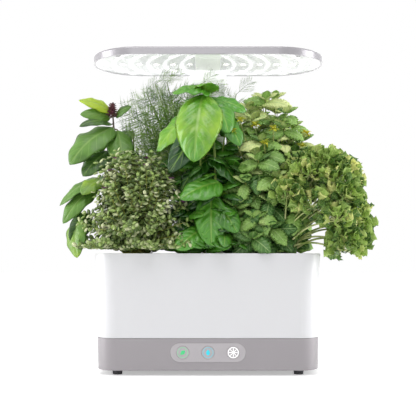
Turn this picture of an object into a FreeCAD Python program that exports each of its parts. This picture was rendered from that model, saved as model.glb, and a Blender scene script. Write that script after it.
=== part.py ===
import FreeCAD, Part
import math
import os
import re
import Sketcher

# A countertop hydroponic garden: a water bowl on a base, six herbs in pods, and a lamp hood on a mast.
# Millimetres. The origin is on the floor under the middle of the base, X right, Y back and Z up.

os.makedirs("parts", exist_ok=True)
document = FreeCAD.newDocument("Garden")
Vector = FreeCAD.Vector

SIZES = {
    # bowl and base
    "rim_width": 267,
    "rim_depth": 152,
    "rim_height": 142.5,
    "corner_radius": 26,
    "draft": 1.3,
    "wall": 2.4,
    "rebate_wall": 1.2,
    "rim_fillet": 0.5,
    "bowl_floor": 2.4,
    "joint_height": 43.5,
    "seam_gap": 0.6,
    "seam_inset": 1.8,
    "base_low": 6,
    "base_fillet": 1.2,
    "base_roof": 2,
    "plate_thickness": 2.4,
    "clearance": 0.2,
    # feet and base screws
    "foot_diameter": 12.4,
    "foot_taper": 0.6,
    "foot_recess": 0.8,
    "foot_x": 107,
    "foot_y": 56,
    "base_screw_x": 84,
    "base_screw_y": 50,
    "base_screw_length": 14,
    "screw_diameter": 3,
    "screw_head": 6,
    "screw_head_height": 1.6,
    "boss_diameter": 8,
    # control panel
    "panel_width": 87.5,
    "panel_height": 22,
    "panel_z": 27.3,
    "panel_proud": 0.4,
    "panel_depth": 3.4,
    "flange_margin": 3,
    "flange_thickness": 1.4,
    "button_diameter": 15,
    "button_pitch": 29.3,
    "button_proud": 0.4,
    "button_travel": 0.8,
    "button_lip": 1.3,
    "lip_thickness": 1,
    "switch_width": 6,
    "switch_depth": 3.5,
    "plunger_diameter": 3.4,
    "plunger_length": 0.8,
    "board_thickness": 1.6,
    "board_height": 18,
    # power inlet
    "jack_x": 72,
    "jack_z": 22,
    "jack_bore": 5.7,
    "jack_bore_depth": 9.5,
    "jack_width": 11,
    "jack_length": 14,
    "jack_nose": 9,
    "jack_proud": 0.3,
    # mast
    "mast_y": 57.6,
    "socket_width": 54,
    "socket_depth": 24,
    "socket_top": 145.5,
    "socket_wall": 2.2,
    "recess_gap": 2.75,
    "collar_height": 2.5,
    "collar_margin": 1,
    "tube_wall": 2,
    "tube_corner": 6,
    "lower_tube_top": 266,
    "lower_tube_length": 145,
    "upper_tube_top": 366,
    "upper_tube_length": 181,
    "bracket_width": 46.5,
    "bracket_height": 11,
    "tongue_front": 25,
    "riser_height": 8,
    "riser_depth": 9,
    # lamp hood
    "hood_length": 284,
    "hood_depth": 118,
    "hood_y": -2,
    "hood_thickness": 9.4,
    "hood_wall": 2.6,
    "hood_roof": 2,
    "hood_fillet": 2.4,
    "lens_recess": 0.4,
    "lens_thickness": 1.2,
    "light_panel_thickness": 1.4,
    "centre_cover_width": 31,
    "rib_count": 5,
    "rib_pitch": 21,
    "rib_first": 33,
    "rib_radius": 78,
    "rib_width": 1.4,
    "rib_height": 0.3,
    "led_size": 5,
    "led_window": 7,
    "led_height": 1,
    "led_rows": 3,
    "led_row_pitch": 36,
    "led_board_length": 232,
    "led_board_depth": 84,
    "hood_screw_x": 107,
    "hood_screw_y": 46,
    # grow deck and pods
    "deck_thickness": 2.5,
    "deck_drop": 3,
    "pod_pitch": 84,
    "pod_front_y": -42,
    "pod_back_y": 11,
    "pod_hole": 40,
    "deck_collar_wall": 1.6,
    "deck_collar_depth": 8,
    "deck_rib_height": 6,
    "fill_diameter": 24,
    "fill_x": 42,
    "fill_y": -52,
    "basket_flange": 46,
    "basket_flange_height": 1.6,
    "basket_top": 38,
    "basket_bottom": 28,
    "basket_length": 60,
    "basket_wall": 1.4,
    "basket_slot": 3,
    "basket_solid_top": 12,
    "sponge_length": 46,
    "sponge_drop": 1,
    "label_diameter": 52,
    "label_hole": 22,
    "label_thickness": 1.4,
    # pump and water level float
    "pump_x": -42,
    "pump_y": -15.5,
    "pump_width": 34,
    "pump_depth": 46,
    "pump_height": 34,
    "pump_chamber": 28,
    "pump_chamber_height": 12,
    "pump_chamber_floor": 12,
    "pump_wall": 2.4,
    "impeller_gap": 1.2,
    "impeller_hub": 8,
    "vane_thickness": 1.6,
    "filter_thickness": 5,
    "outlet_diameter": 8,
    "outlet_bore": 5,
    "float_x": 42,
    "float_diameter": 20,
    "float_height": 12,
    "float_travel": 18,
    "guide_diameter": 4,
    "guide_stop": 9,
    "guide_stop_height": 2,
    "guide_flange": 14,
    "float_low": 84,
    # herbs
    "thai_basil_top": 328,
    "dill_top": 359,
    "genovese_basil_top": 343,
    "thyme_top": 262,
    "mint_top": 334,
    "parsley_top": 270,
    "stem_diameter": 3,
    "leaf_thickness": 0.8,
    "plant_gap": 0.6,
}

sheet = document.addObject("Spreadsheet::Sheet", "Sizes")
for row, (alias, number) in enumerate(SIZES.items(), start=1):
    sheet.set(f"A{row}", alias)
    sheet.set(f"B{row}", str(number))
    sheet.setAlias(f"B{row}", alias)
document.recompute()

pieces = []


def named(expression):
    """Writes the sheet's name before each of its aliases in an expression."""
    return re.sub(r"[a-z_]+", lambda word: "Sizes." + word[0] if word[0] in SIZES else word[0], str(expression))


def value(expression):
    """The number that an expression on the sheet's aliases gives now."""
    return float(sheet.evalExpression(named(expression)))


def bind(thing, **expressions):
    """Binds properties of a thing to expressions on the sheet's aliases."""
    for path, expression in expressions.items():
        thing.setExpression(path, named(expression))
    return thing


def place(thing, x, y, z, rotation=None):
    """Binds where a thing stands, after an optional turn."""
    if rotation is not None:
        thing.Placement = FreeCAD.Placement(Vector(0, 0, 0), rotation)
    for axis, expression in zip("xyz", (x, y, z)):
        thing.setExpression(f"Placement.Base.{axis}", named(expression))
    return thing


def piece(thing, label):
    """Registers a finished sub-part under the name of its file."""
    thing.Label = label
    pieces.append(thing)
    return thing


TO_FRONT = FreeCAD.Rotation(Vector(1, 0, 0), 90)
TO_BACK = FreeCAD.Rotation(Vector(1, 0, 0), -90)


def block(name, x, y, z, width, depth, height):
    """A box with its middle at x and y, and its underside at z."""
    thing = document.addObject("Part::Box", name)
    bind(thing, Length=width, Width=depth, Height=height)
    return place(thing, f"{x} - ({width}) / 2", f"{y} - ({depth}) / 2", z)


def rod(name, x, y, z, diameter, length, rotation=None):
    """A cylinder from a point, upwards or the way that the turn points it."""
    thing = document.addObject("Part::Cylinder", name)
    bind(thing, Radius=f"({diameter}) / 2", Height=length)
    return place(thing, x, y, z, rotation)


def cone(name, x, y, z, low_diameter, high_diameter, height):
    """A cone standing at a point, with a diameter at each end."""
    thing = document.addObject("Part::Cone", name)
    bind(thing, Radius1=f"({low_diameter}) / 2", Radius2=f"({high_diameter}) / 2", Height=height)
    return place(thing, x, y, z)


def fuse(name, *things):
    thing = document.addObject("Part::MultiFuse", name)
    thing.Shapes = list(things)
    return thing


def cut(name, base, *tools):
    """Takes one or more tools away from a base."""
    thing = document.addObject("Part::Cut", name)
    thing.Base = base
    thing.Tool = tools[0] if len(tools) == 1 else fuse(name + "_tools", *tools)
    return thing


def common(name, base, tool):
    thing = document.addObject("Part::Common", name)
    thing.Base = base
    thing.Tool = tool
    return thing


def group(name, things):
    """Several equal solids kept together, without joining them."""
    thing = document.addObject("Part::Compound", name)
    thing.Links = things
    return thing


def new_sketch(body, name):
    sketch = body.newObject("Sketcher::SketchObject", name)
    plane = [item for item in body.Origin.OriginFeatures if item.Role == "XY_Plane"][0]
    sketch.AttachmentSupport = [(plane, "")]
    sketch.MapMode = "FlatFace"
    return sketch


def dimension(sketch, name, constraint, expression):
    index = sketch.addConstraint(constraint)
    sketch.renameConstraint(index, name)
    sketch.setExpression("Constraints." + name, named(expression))


def ring_of_arcs(sketch, centres, start_angles, sweep, radius):
    """Draws arcs of one radius about their centres, joined by tangent lines. Returns their indices."""
    ends = []
    arcs = []
    for (x, y), start in zip(centres, start_angles):
        circle = Part.Circle(Vector(x, y, 0), Vector(0, 0, 1), radius)
        low, high = math.radians(start), math.radians(start + sweep)
        arcs.append(sketch.addGeometry(Part.ArcOfCircle(circle, low, high), False))
        ends.append([Vector(x + radius * math.cos(a), y + radius * math.sin(a), 0) for a in (low, high)])
    lines = []
    for index in range(len(arcs)):
        follower = (index + 1) % len(arcs)
        line = Part.LineSegment(ends[index][1], ends[follower][0])
        lines.append(sketch.addGeometry(line, False))
        sketch.addConstraint(Sketcher.Constraint("Tangent", arcs[index], 2, lines[index], 1))
        sketch.addConstraint(Sketcher.Constraint("Tangent", lines[index], 2, arcs[follower], 1))
    return arcs, lines


def rounded_outline(body, name, width, depth, radius):
    """A rectangle with round corners about the body's origin."""
    sketch = new_sketch(body, name)
    corner = value(radius)
    x = value(width) / 2 - corner
    y = value(depth) / 2 - corner
    centres = [(x, y), (-x, y), (-x, -y), (x, -y)]
    arcs, lines = ring_of_arcs(sketch, centres, (0, 90, 180, 270), 90, corner)
    for index, kind in enumerate(("Horizontal", "Vertical", "Horizontal", "Vertical")):
        sketch.addConstraint(Sketcher.Constraint(kind, lines[index]))
    for arc in arcs[1:]:
        sketch.addConstraint(Sketcher.Constraint("Equal", arcs[0], arc))
    sketch.addConstraint(Sketcher.Constraint("Symmetric", arcs[0], 3, arcs[2], 3, -1, 1))
    across = Sketcher.Constraint("DistanceX", arcs[1], 3, arcs[0], 3, 2 * x)
    along = Sketcher.Constraint("DistanceY", arcs[2], 3, arcs[1], 3, 2 * y)
    dimension(sketch, "across", across, f"({width}) - 2 * ({radius})")
    dimension(sketch, "along", along, f"({depth}) - 2 * ({radius})")
    dimension(sketch, "corner", Sketcher.Constraint("Radius", arcs[0], corner), radius)
    return sketch


def pill_outline(body, name, length, depth):
    """A slot shape with half-round ends about the body's origin."""
    sketch = new_sketch(body, name)
    radius = value(depth) / 2
    x = value(length) / 2 - radius
    arcs, lines = ring_of_arcs(sketch, [(x, 0), (-x, 0)], (-90, 90), 180, radius)
    for line in lines:
        sketch.addConstraint(Sketcher.Constraint("Horizontal", line))
    sketch.addConstraint(Sketcher.Constraint("Symmetric", arcs[0], 3, arcs[1], 3, -1, 1))
    across = Sketcher.Constraint("DistanceX", arcs[1], 3, arcs[0], 3, 2 * x)
    dimension(sketch, "across", across, f"({length}) - ({depth})")
    dimension(sketch, "end", Sketcher.Constraint("Radius", arcs[0], radius), f"({depth}) / 2")
    return sketch


def pad(body, sketch, height, taper=None):
    feature = body.newObject("PartDesign::Pad", sketch.Name + "_pad")
    feature.Profile = sketch
    bind(feature, Length=height)
    if taper is not None:
        bind(feature, TaperAngle=taper)
    return feature


def round_edges(body, base, level, radius):
    """Rounds the edges of a feature that lie flat at a level of the body's own frame."""
    document.recompute()
    names = []
    for index, edge in enumerate(base.Shape.Edges, start=1):
        if abs(edge.BoundBox.ZMin - value(level)) < 0.01 and abs(edge.BoundBox.ZMax - value(level)) < 0.01:
            names.append(f"Edge{index}")
    feature = body.newObject("PartDesign::Fillet", base.Name + "_fillet")
    feature.Base = (base, names)
    return bind(feature, Radius=radius)


def rounded_prism(name, x, y, z, width, depth, radius, height):
    body = document.addObject("PartDesign::Body", name)
    pad(body, rounded_outline(body, name + "_outline", width, depth, radius), height)
    return place(body, x, y, z)


def pill_prism(name, x, y, z, length, depth, height, rotation=None):
    body = document.addObject("PartDesign::Body", name)
    pad(body, pill_outline(body, name + "_outline", length, depth), height)
    return place(body, x, y, z, rotation)


def face_y(z):
    """How far the outer face stands from the middle at a height, because the walls lean outwards."""
    return f"(rim_depth / 2 - tan(draft) * (rim_height - ({z})))"


def leaning_block(name, low, high, inset, low_fillet=None, high_fillet=None):
    """A block inside the outer faces of bowl and base by an inset, between two heights."""
    lean = f"tan(draft) * (rim_height - ({low})) + ({inset})"
    body = document.addObject("PartDesign::Body", name)
    outline = rounded_outline(
        body, name + "_outline", f"rim_width - 2 * ({lean})", f"rim_depth - 2 * ({lean})", f"corner_radius - ({lean})"
    )
    last = pad(body, outline, f"({high}) - ({low})", "draft")
    if low_fillet:
        last = round_edges(body, last, "0", low_fillet)
    if high_fillet:
        last = round_edges(body, last, f"({high}) - ({low})", high_fillet)
    return place(body, "0", "0", low)


def corners(x, y):
    """The four places that mirror one place, with a name for each."""
    return {
        "front_left": (f"-({x})", f"-({y})"),
        "front_right": (f"{x}", f"-({y})"),
        "back_left": (f"-({x})", f"{y}"),
        "back_right": (f"{x}", f"{y}"),
    }


# Heights that several pieces share
PLATE_TOP = "(base_low + plate_thickness)"
ROOF_LOW = "(joint_height - base_roof)"
BOWL_FLOOR_TOP = "(joint_height + seam_gap + bowl_floor)"
DECK_TOP = "(rim_height - deck_drop)"
DECK_LOW = "(rim_height - deck_drop - deck_thickness)"
HOOD_LOW = "(upper_tube_top + bracket_height)"
FLANGE_TOP = "(rim_height - deck_drop + basket_flange_height)"
LABEL_TOP = "(rim_height - deck_drop + basket_flange_height + label_thickness)"
PANEL_FRONT = f"({face_y('panel_z')} + panel_proud)"
WINDOW_BACK = f"({PANEL_FRONT} - panel_depth)"
FLANGE_BACK = f"({WINDOW_BACK} - flange_thickness)"
LIP_BACK = f"({FLANGE_BACK} - lip_thickness)"
PLUNGER_TIP = f"({LIP_BACK} - button_travel - clearance / 2)"
BOARD_FRONT = f"({PLUNGER_TIP} - plunger_length - switch_depth)"
JACK_FACE = f"({face_y('jack_z')} + jack_proud)"
JACK_SEAT = f"({face_y('jack_z')} - wall - 1)"


def make_base_shell():
    """The grey casing: leaning walls, a roof under the bowl, a window for the panel and screw bosses."""
    outer = leaning_block("base_outer", "base_low", "joint_height", "0", low_fillet="base_fillet")
    inner = leaning_block("base_inner", "base_low", ROOF_LOW, "wall")
    walls = cut("base_walls", outer, inner)
    seat_width = "panel_width + 2 * flange_margin + 4"
    seat = block(
        "panel_seat", "0", f"-({face_y('joint_height')} - 1 + {WINDOW_BACK}) / 2", PLATE_TOP,
        seat_width, f"{face_y('joint_height')} - 1 - {WINDOW_BACK}", f"{ROOF_LOW} - {PLATE_TOP}",
    )
    seat = common("panel_seat_trimmed", seat, leaning_block("seat_limit", "base_low", "joint_height", "wall / 2"))
    jack_seat = block(
        "jack_seat", "jack_x", f"({JACK_SEAT} + {face_y('jack_z')} - wall / 2) / 2", PLATE_TOP,
        "jack_width + 6", f"{face_y('jack_z')} - wall / 2 - {JACK_SEAT}", f"{ROOF_LOW} - {PLATE_TOP}",
    )
    bosses = []
    holes = []
    for name, (x, y) in corners("base_screw_x", "base_screw_y").items():
        bosses.append(rod("boss_" + name, x, y, PLATE_TOP, "boss_diameter", f"{ROOF_LOW} - {PLATE_TOP}"))
        depth = f"base_screw_length - {PLATE_TOP} + base_low + screw_head_height + 1"
        holes.append(rod("boss_hole_" + name, x, y, PLATE_TOP, "screw_diameter", depth))
    solid = fuse("base_solid", walls, seat, jack_seat, *bosses)
    window = pill_prism(
        "panel_window", "0", f"-({WINDOW_BACK} - 3)", "panel_z",
        "panel_width + 2 * clearance", "panel_height + 2 * clearance", "panel_depth + 9", TO_FRONT,
    )
    nose_hole = rod("nose_hole", "jack_x", f"{JACK_SEAT} - 1", "jack_z", "jack_nose + 2 * clearance", "12", TO_BACK)
    mast_hole = rounded_prism(
        "mast_hole", "0", "mast_y", f"{ROOF_LOW} - 1",
        "socket_width + 2 * clearance", "socket_depth + 2 * clearance", "tube_corner + clearance", "base_roof + 3",
    )
    piece(cut("base_shell_cut", solid, window, nose_hole, mast_hole, *holes), "base_shell")


def make_bottom_plate():
    """The plate that closes the base from below, with recesses for feet and screw heads."""
    plate = leaning_block("plate_block", "base_low", PLATE_TOP, "wall + clearance")
    tools = []
    for name, (x, y) in corners("foot_x", "foot_y").items():
        tools.append(rod("foot_recess_" + name, x, y, "base_low - 1", "foot_diameter + 2 * clearance", "1 + foot_recess"))
    for name, (x, y) in corners("base_screw_x", "base_screw_y").items():
        tools.append(rod("plate_hole_" + name, x, y, "base_low - 1", "screw_diameter + 2 * clearance", "plate_thickness + 2"))
        head = "screw_head + 2 * clearance"
        tools.append(rod("head_recess_" + name, x, y, "base_low - 1", head, "1 + screw_head_height"))
    piece(cut("bottom_plate_cut", plate, *tools), "bottom_plate")


def make_feet():
    for name, (x, y) in corners("foot_x", "foot_y").items():
        foot = cone("foot_" + name, x, y, "0", "foot_diameter - 2 * foot_taper", "foot_diameter", "base_low + foot_recess")
        piece(foot, "foot_" + name)


def screw(name, x, y, z, length, shank):
    """A screw seen from below: its head at z and its shank above it."""
    head = rod(name + "_head", x, y, z, "screw_head", "screw_head_height")
    return fuse(name, head, rod(name + "_shank", x, y, z, shank, f"screw_head_height + {length}"))


def make_base_screws():
    screws = []
    for name, (x, y) in corners("base_screw_x", "base_screw_y").items():
        screws.append(screw("base_screw_" + name, x, y, "base_low", "base_screw_length", "screw_diameter - clearance"))
    piece(group("base_screw_group", screws), "base_screws")


def make_control_panel():
    """The long panel with its back flange, the button wells and two posts for the board."""
    face = pill_prism(
        "panel_face", "0", f"-{WINDOW_BACK}", "panel_z", "panel_width", "panel_height", "panel_depth", TO_FRONT,
    )
    flange = pill_prism(
        "panel_flange", "0", f"-{FLANGE_BACK}", "panel_z",
        "panel_width + 2 * flange_margin", "panel_height + 2 * flange_margin", "flange_thickness", TO_FRONT,
    )
    posts = []
    for side, sign in (("left", "-"), ("right", "")):
        x = f"{sign}(panel_width / 2 - 2)"
        posts.append(rod("panel_post_" + side, x, f"-{BOARD_FRONT}", "panel_z", "5", f"{FLANGE_BACK} - {BOARD_FRONT}", TO_FRONT))
    solid = fuse("panel_solid", face, flange, *posts)
    wells = []
    for index, step in enumerate((-1, 0, 1)):
        well = "button_diameter + 2 * clearance"
        wells.append(
            rod(f"button_well_{index}", f"{step} * button_pitch", f"-{FLANGE_BACK} + 1", "panel_z", well, "panel_depth + flange_thickness + 3", TO_FRONT)
        )
    piece(cut("control_panel_cut", solid, *wells), "control_panel")


def make_buttons():
    """Three round buttons, each held behind the panel by a lip."""
    for step, label in ((-1, "feed_button"), (0, "water_button"), (1, "light_button")):
        x = f"{step} * button_pitch"
        length = f"panel_depth + flange_thickness + button_proud"
        cap = rod(label + "_cap", x, f"-{FLANGE_BACK}", "panel_z", "button_diameter", length, TO_FRONT)
        lip_size = "button_diameter + 2 * button_lip"
        lip = rod(label + "_lip", x, f"-{LIP_BACK}", "panel_z", lip_size, "lip_thickness", TO_FRONT)
        piece(fuse(label + "_solid", cap, lip), label)


def make_control_board():
    board = block(
        "control_board_block", "0", f"-{BOARD_FRONT} + board_thickness / 2", "panel_z - board_height / 2",
        "panel_width - 1", "board_thickness", "board_height",
    )
    piece(board, "control_board")
    switches = []
    for index, step in enumerate((-1, 0, 1)):
        x = f"{step} * button_pitch"
        case = block(
            f"switch_case_{index}", x, f"-{BOARD_FRONT} - switch_depth / 2", "panel_z - switch_width / 2",
            "switch_width", "switch_depth", "switch_width",
        )
        plunger = rod(f"plunger_{index}", x, f"-{BOARD_FRONT}", "panel_z", "plunger_diameter", "switch_depth + plunger_length", TO_FRONT)
        switches.append(fuse(f"switch_{index}", case, plunger))
    piece(group("switch_group", switches), "tact_switches")


def make_dc_jack():
    """The power inlet at the back, with the round bore that takes a plug."""
    case = block(
        "jack_case", "jack_x", f"{JACK_SEAT} - jack_length / 2", "jack_z - jack_width / 2",
        "jack_width", "jack_length", "jack_width",
    )
    nose = rod("jack_nose_rod", "jack_x", f"{JACK_SEAT} - 1", "jack_z", "jack_nose", f"{JACK_FACE} - {JACK_SEAT} + 1", TO_BACK)
    bore = rod("jack_bore_rod", "jack_x", f"{JACK_FACE} - jack_bore_depth", "jack_z", "jack_bore", "jack_bore_depth + 2", TO_BACK)
    piece(cut("dc_jack_cut", fuse("jack_solid", case, nose), bore), "dc_jack")


def tube(name, low, height, width, depth, radius, wall):
    outer = rounded_prism(name + "_outer", "0", "mast_y", low, width, depth, radius, height)
    inner = rounded_prism(
        name + "_inner", "0", "mast_y", f"{low} - 1",
        f"{width} - 2 * ({wall})", f"{depth} - 2 * ({wall})", f"{radius} - ({wall})", f"{height} + 2",
    )
    return cut(name + "_cut", outer, inner)


def make_mast():
    """A fixed socket behind the bowl and two flat tubes that slide in one another."""
    socket = tube(
        "socket", PLATE_TOP, f"socket_top - {PLATE_TOP}", "socket_width", "socket_depth", "tube_corner", "socket_wall",
    )
    piece(socket, "mast_socket")
    collar = tube(
        "collar", "socket_top", "collar_height", "socket_width + 2 * collar_margin", "socket_depth + 2 * collar_margin",
        "tube_corner + collar_margin", "socket_wall + collar_margin",
    )
    piece(collar, "socket_collar")
    step = "(socket_wall + clearance)"
    lower = tube(
        "lower_tube", "lower_tube_top - lower_tube_length", "lower_tube_length",
        f"socket_width - 2 * {step}", f"socket_depth - 2 * {step}", f"tube_corner - {step}", "tube_wall",
    )
    piece(lower, "mast_lower_tube")
    step = "(socket_wall + tube_wall + 2 * clearance)"
    upper = tube(
        "upper_tube", "upper_tube_top - upper_tube_length", "upper_tube_length",
        f"socket_width - 2 * {step}", f"socket_depth - 2 * {step}", "1.2", "1",
    )
    piece(upper, "mast_upper_tube")


def make_bracket():
    """The block on the mast: a tongue under the hood and a riser behind it."""
    back = "(mast_y + riser_depth)"
    tongue = block(
        "bracket_tongue", "0", f"(tongue_front + {back}) / 2", "upper_tube_top",
        "bracket_width", f"{back} - tongue_front", "bracket_height",
    )
    hood_back = "(hood_y + hood_depth / 2 + clearance)"
    riser = block(
        "bracket_riser", "0", f"({hood_back} + {back}) / 2", "upper_tube_top",
        "bracket_width", f"{back} - {hood_back}", "bracket_height + riser_height",
    )
    piece(fuse("hood_bracket_solid", tongue, riser), "hood_bracket")


def hood_prism(name, low, high, inset, fillet=None):
    """A layer of the hood: its outline drawn in by an inset, between two heights above the hood's underside."""
    body = document.addObject("PartDesign::Body", name)
    outline = pill_outline(body, name + "_outline", f"hood_length - 2 * ({inset})", f"hood_depth - 2 * ({inset})")
    last = pad(body, outline, f"({high}) - ({low})")
    if fillet:
        round_edges(body, last, f"({high}) - ({low})", fillet)
    return place(body, "0", "hood_y", f"{HOOD_LOW} + ({low})")


LENS_TOP = "(lens_recess + lens_thickness)"
LIGHT_PANEL_TOP = "(lens_recess + lens_thickness + light_panel_thickness)"
HOOD_SCREWS = corners("hood_screw_x", "hood_screw_y")


def hood_place(place_of_screw):
    x, y = place_of_screw
    return x, f"hood_y + {y}"


def make_hood_shell():
    outer = hood_prism("hood_outer", "0", "hood_thickness", "0", "hood_fillet")
    inner = hood_prism("hood_inner", "-1", "hood_thickness - hood_roof", "hood_wall")
    bosses = []
    holes = []
    for name, screw_place in HOOD_SCREWS.items():
        x, y = hood_place(screw_place)
        height = f"hood_thickness - hood_roof - {LIGHT_PANEL_TOP}"
        bosses.append(rod("hood_boss_" + name, x, y, f"{HOOD_LOW} + {LIGHT_PANEL_TOP}", "boss_diameter", f"{height} + hood_roof / 2"))
        holes.append(rod("hood_boss_hole_" + name, x, y, f"{HOOD_LOW} + {LIGHT_PANEL_TOP} - 1", "screw_diameter", f"{height} + 1"))
    solid = fuse("hood_solid", cut("hood_walls", outer, inner), *bosses)
    piece(cut("hood_shell_cut", solid, *holes), "hood_shell")


def led_places():
    """Where each light chip sits: columns between the lens ribs and rows along the hood's depth."""
    rows = int(value("led_rows"))
    for side in (-1, 1):
        for column in range(int(value("rib_count"))):
            x = f"{side} * (rib_first - rib_pitch / 2 + {column} * rib_pitch)"
            for row in range(rows):
                yield x, f"hood_y + {row - (rows - 1) / 2} * led_row_pitch"


def make_light_parts():
    """The white panel with a window for each chip, the board over it and the chips."""
    panel = hood_prism("light_panel_block", LENS_TOP, LIGHT_PANEL_TOP, "hood_wall + clearance")
    tools = []
    chips = []
    for index, (x, y) in enumerate(led_places()):
        tools.append(
            block(f"led_window_{index}", x, y, f"{HOOD_LOW} + {LENS_TOP} - 1", "led_window", "led_window", "light_panel_thickness + 2")
        )
        chips.append(
            block(f"led_{index}", x, y, f"{HOOD_LOW} + {LIGHT_PANEL_TOP} - led_height", "led_size", "led_size", "led_height")
        )
    for name, screw_place in HOOD_SCREWS.items():
        x, y = hood_place(screw_place)
        tools.append(
            rod("panel_hole_" + name, x, y, f"{HOOD_LOW} + {LENS_TOP} - 1", "screw_diameter + clearance", "light_panel_thickness + 2")
        )
    piece(cut("hood_panel_cut", panel, *tools), "hood_panel")
    board = block(
        "led_board_block", "0", "hood_y", f"{HOOD_LOW} + {LIGHT_PANEL_TOP}",
        "led_board_length", "led_board_depth", "board_thickness",
    )
    piece(board, "led_board")
    piece(group("led_group", chips), "led_chips")


def make_lenses():
    """Two clear covers, left and right of the centre cover, each with bowed ribs under it."""
    half = "(hood_length / 2 + 10)"
    gap = "(centre_cover_width / 2 + clearance)"
    for side, sign in (("left", -1), ("right", 1)):
        sheet_block = hood_prism(f"lens_{side}_sheet", "lens_recess", LENS_TOP, "hood_wall + clearance")
        rib_area = hood_prism(f"lens_{side}_rib_area", "lens_recess - rib_height", "lens_recess", "hood_wall + clearance + 6")
        ribs = []
        for index in range(int(value("rib_count"))):
            crest = f"(rib_first + {index} * rib_pitch)"
            middle = f"{sign} * ({crest} - rib_radius)"
            low = f"{HOOD_LOW} + lens_recess - rib_height"
            outer = rod(f"rib_{side}_{index}_outer", middle, "hood_y", low, "2 * rib_radius", "rib_height")
            inner = rod(f"rib_{side}_{index}_inner", middle, "hood_y", low, "2 * (rib_radius - rib_width)", "rib_height")
            ribs.append(cut(f"rib_{side}_{index}", outer, inner))
        trimmed = common(f"lens_{side}_ribs", fuse(f"lens_{side}_rings", *ribs), rib_area)
        solid = fuse(f"lens_{side}_solid", sheet_block, trimmed)
        window = block(
            f"lens_{side}_half", f"{sign} * ({gap} + {half} / 2)", "hood_y", f"{HOOD_LOW} - 2", half, "hood_depth + 2", "6",
        )
        halved = common(f"lens_{side}_halved", solid, window)
        holes = []
        for name, screw_place in HOOD_SCREWS.items():
            if side in name:
                x, y = hood_place(screw_place)
                holes.append(rod(f"lens_hole_{name}", x, y, f"{HOOD_LOW} - 1", "screw_head + 2 * clearance", "6"))
        piece(cut(f"lens_{side}_cut", halved, *holes), f"lens_{side}")


def make_hood_screws():
    screws = []
    for name, screw_place in HOOD_SCREWS.items():
        x, y = hood_place(screw_place)
        low = f"{HOOD_LOW} + {LENS_TOP} - screw_head_height"
        length = f"light_panel_thickness + (hood_thickness - hood_roof - {LIGHT_PANEL_TOP}) - clearance"
        screws.append(screw("hood_screw_" + name, x, y, low, length, "screw_diameter - clearance"))
    piece(group("hood_screw_group", screws), "panel_screws")


def make_centre_cover():
    """The plain strip between the lenses, flush with the hood's underside."""
    outline = hood_prism("cover_outline", "0", LENS_TOP, "hood_wall + clearance")
    strip = block(
        "cover_strip", "0", "hood_y", HOOD_LOW, "centre_cover_width", "hood_depth", LENS_TOP,
    )
    piece(common("centre_cover_common", outline, strip), "hood_centre_cover")


RECESS_FRONT = "(mast_y - socket_depth / 2 - recess_gap)"


def mast_recess(name, low, margin):
    """Room for the mast socket behind the bowl, open to the back, grown by a margin."""
    back = "(rim_depth / 2 + 30)"
    front = f"({RECESS_FRONT} - ({margin}))"
    return rounded_prism(
        name, "0", f"({front} + {back}) / 2", low,
        f"socket_width + 2 * recess_gap + 2 * ({margin})", f"{back} - {front}", "tube_corner", "rim_height",
    )


def make_bowl():
    """The white bowl: leaning walls, a rebate for the deck at the rim and a recess for the mast."""
    low = "(joint_height + seam_gap)"
    outer = leaning_block("bowl_outer", low, "rim_height", "0", high_fillet="rim_fillet")
    foot = leaning_block("bowl_foot", "joint_height", f"{low} + bowl_floor / 2", "seam_inset")
    solid = cut("bowl_solid", fuse("bowl_mass", outer, foot), mast_recess("bowl_recess", "joint_height - 5", "0"))
    inner = leaning_block("bowl_inner", BOWL_FLOOR_TOP, "rim_height + 1", "wall")
    rebate = leaning_block("bowl_rebate", DECK_LOW, "rim_height + 1", "rebate_wall")
    room = fuse("bowl_room_whole", inner, rebate)
    room = cut("bowl_room", room, mast_recess("bowl_recess_wall", "joint_height - 5", "wall"))
    piece(cut("bowl_cut", solid, room), "bowl")


def pods():
    """Each pod's name with the place of its middle."""
    for row_name, y in (("front", "pod_front_y"), ("back", "pod_back_y")):
        for column_name, step in (("left", -1), ("centre", 0), ("right", 1)):
            yield f"{row_name}_{column_name}", f"{step} * pod_pitch", y


def make_grow_deck():
    """The deck in the bowl's mouth: six pod holes with collars, a fill port and a stiffening rib."""
    plate = leaning_block("deck_plate", DECK_LOW, DECK_TOP, "rebate_wall + clearance")
    plate = cut("deck_plate_notched", plate, mast_recess("deck_recess", f"{DECK_LOW} - 5", "wall + clearance"))
    parts = []
    holes = []
    for name, x, y in pods():
        outer = "pod_hole + 2 * deck_collar_wall"
        parts.append(rod("deck_collar_" + name, x, y, f"{DECK_LOW} - deck_collar_depth", outer, "deck_collar_depth + deck_thickness"))
        holes.append(rod("deck_hole_" + name, x, y, f"{DECK_LOW} - deck_collar_depth - 1", "pod_hole", "deck_collar_depth + deck_thickness + 2"))
    rib_y = "(pod_front_y + pod_back_y) / 2"
    parts.append(block("deck_rib", "0", rib_y, f"{DECK_LOW} - deck_rib_height", "2.4 * pod_pitch", "deck_collar_wall", "deck_rib_height + deck_thickness / 2"))
    holes.append(rod("fill_port", "fill_x", "fill_y", f"{DECK_LOW} - 1", "fill_diameter", "deck_thickness + 2"))
    holes.append(rod("outlet_hole", "pump_x", "pump_y", f"{DECK_LOW} - deck_rib_height - 1", "outlet_diameter + 2 * clearance", "deck_rib_height + deck_thickness + 2"))
    piece(cut("grow_deck_cut", fuse("deck_solid", plate, *parts), *holes), "grow_deck")


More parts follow.
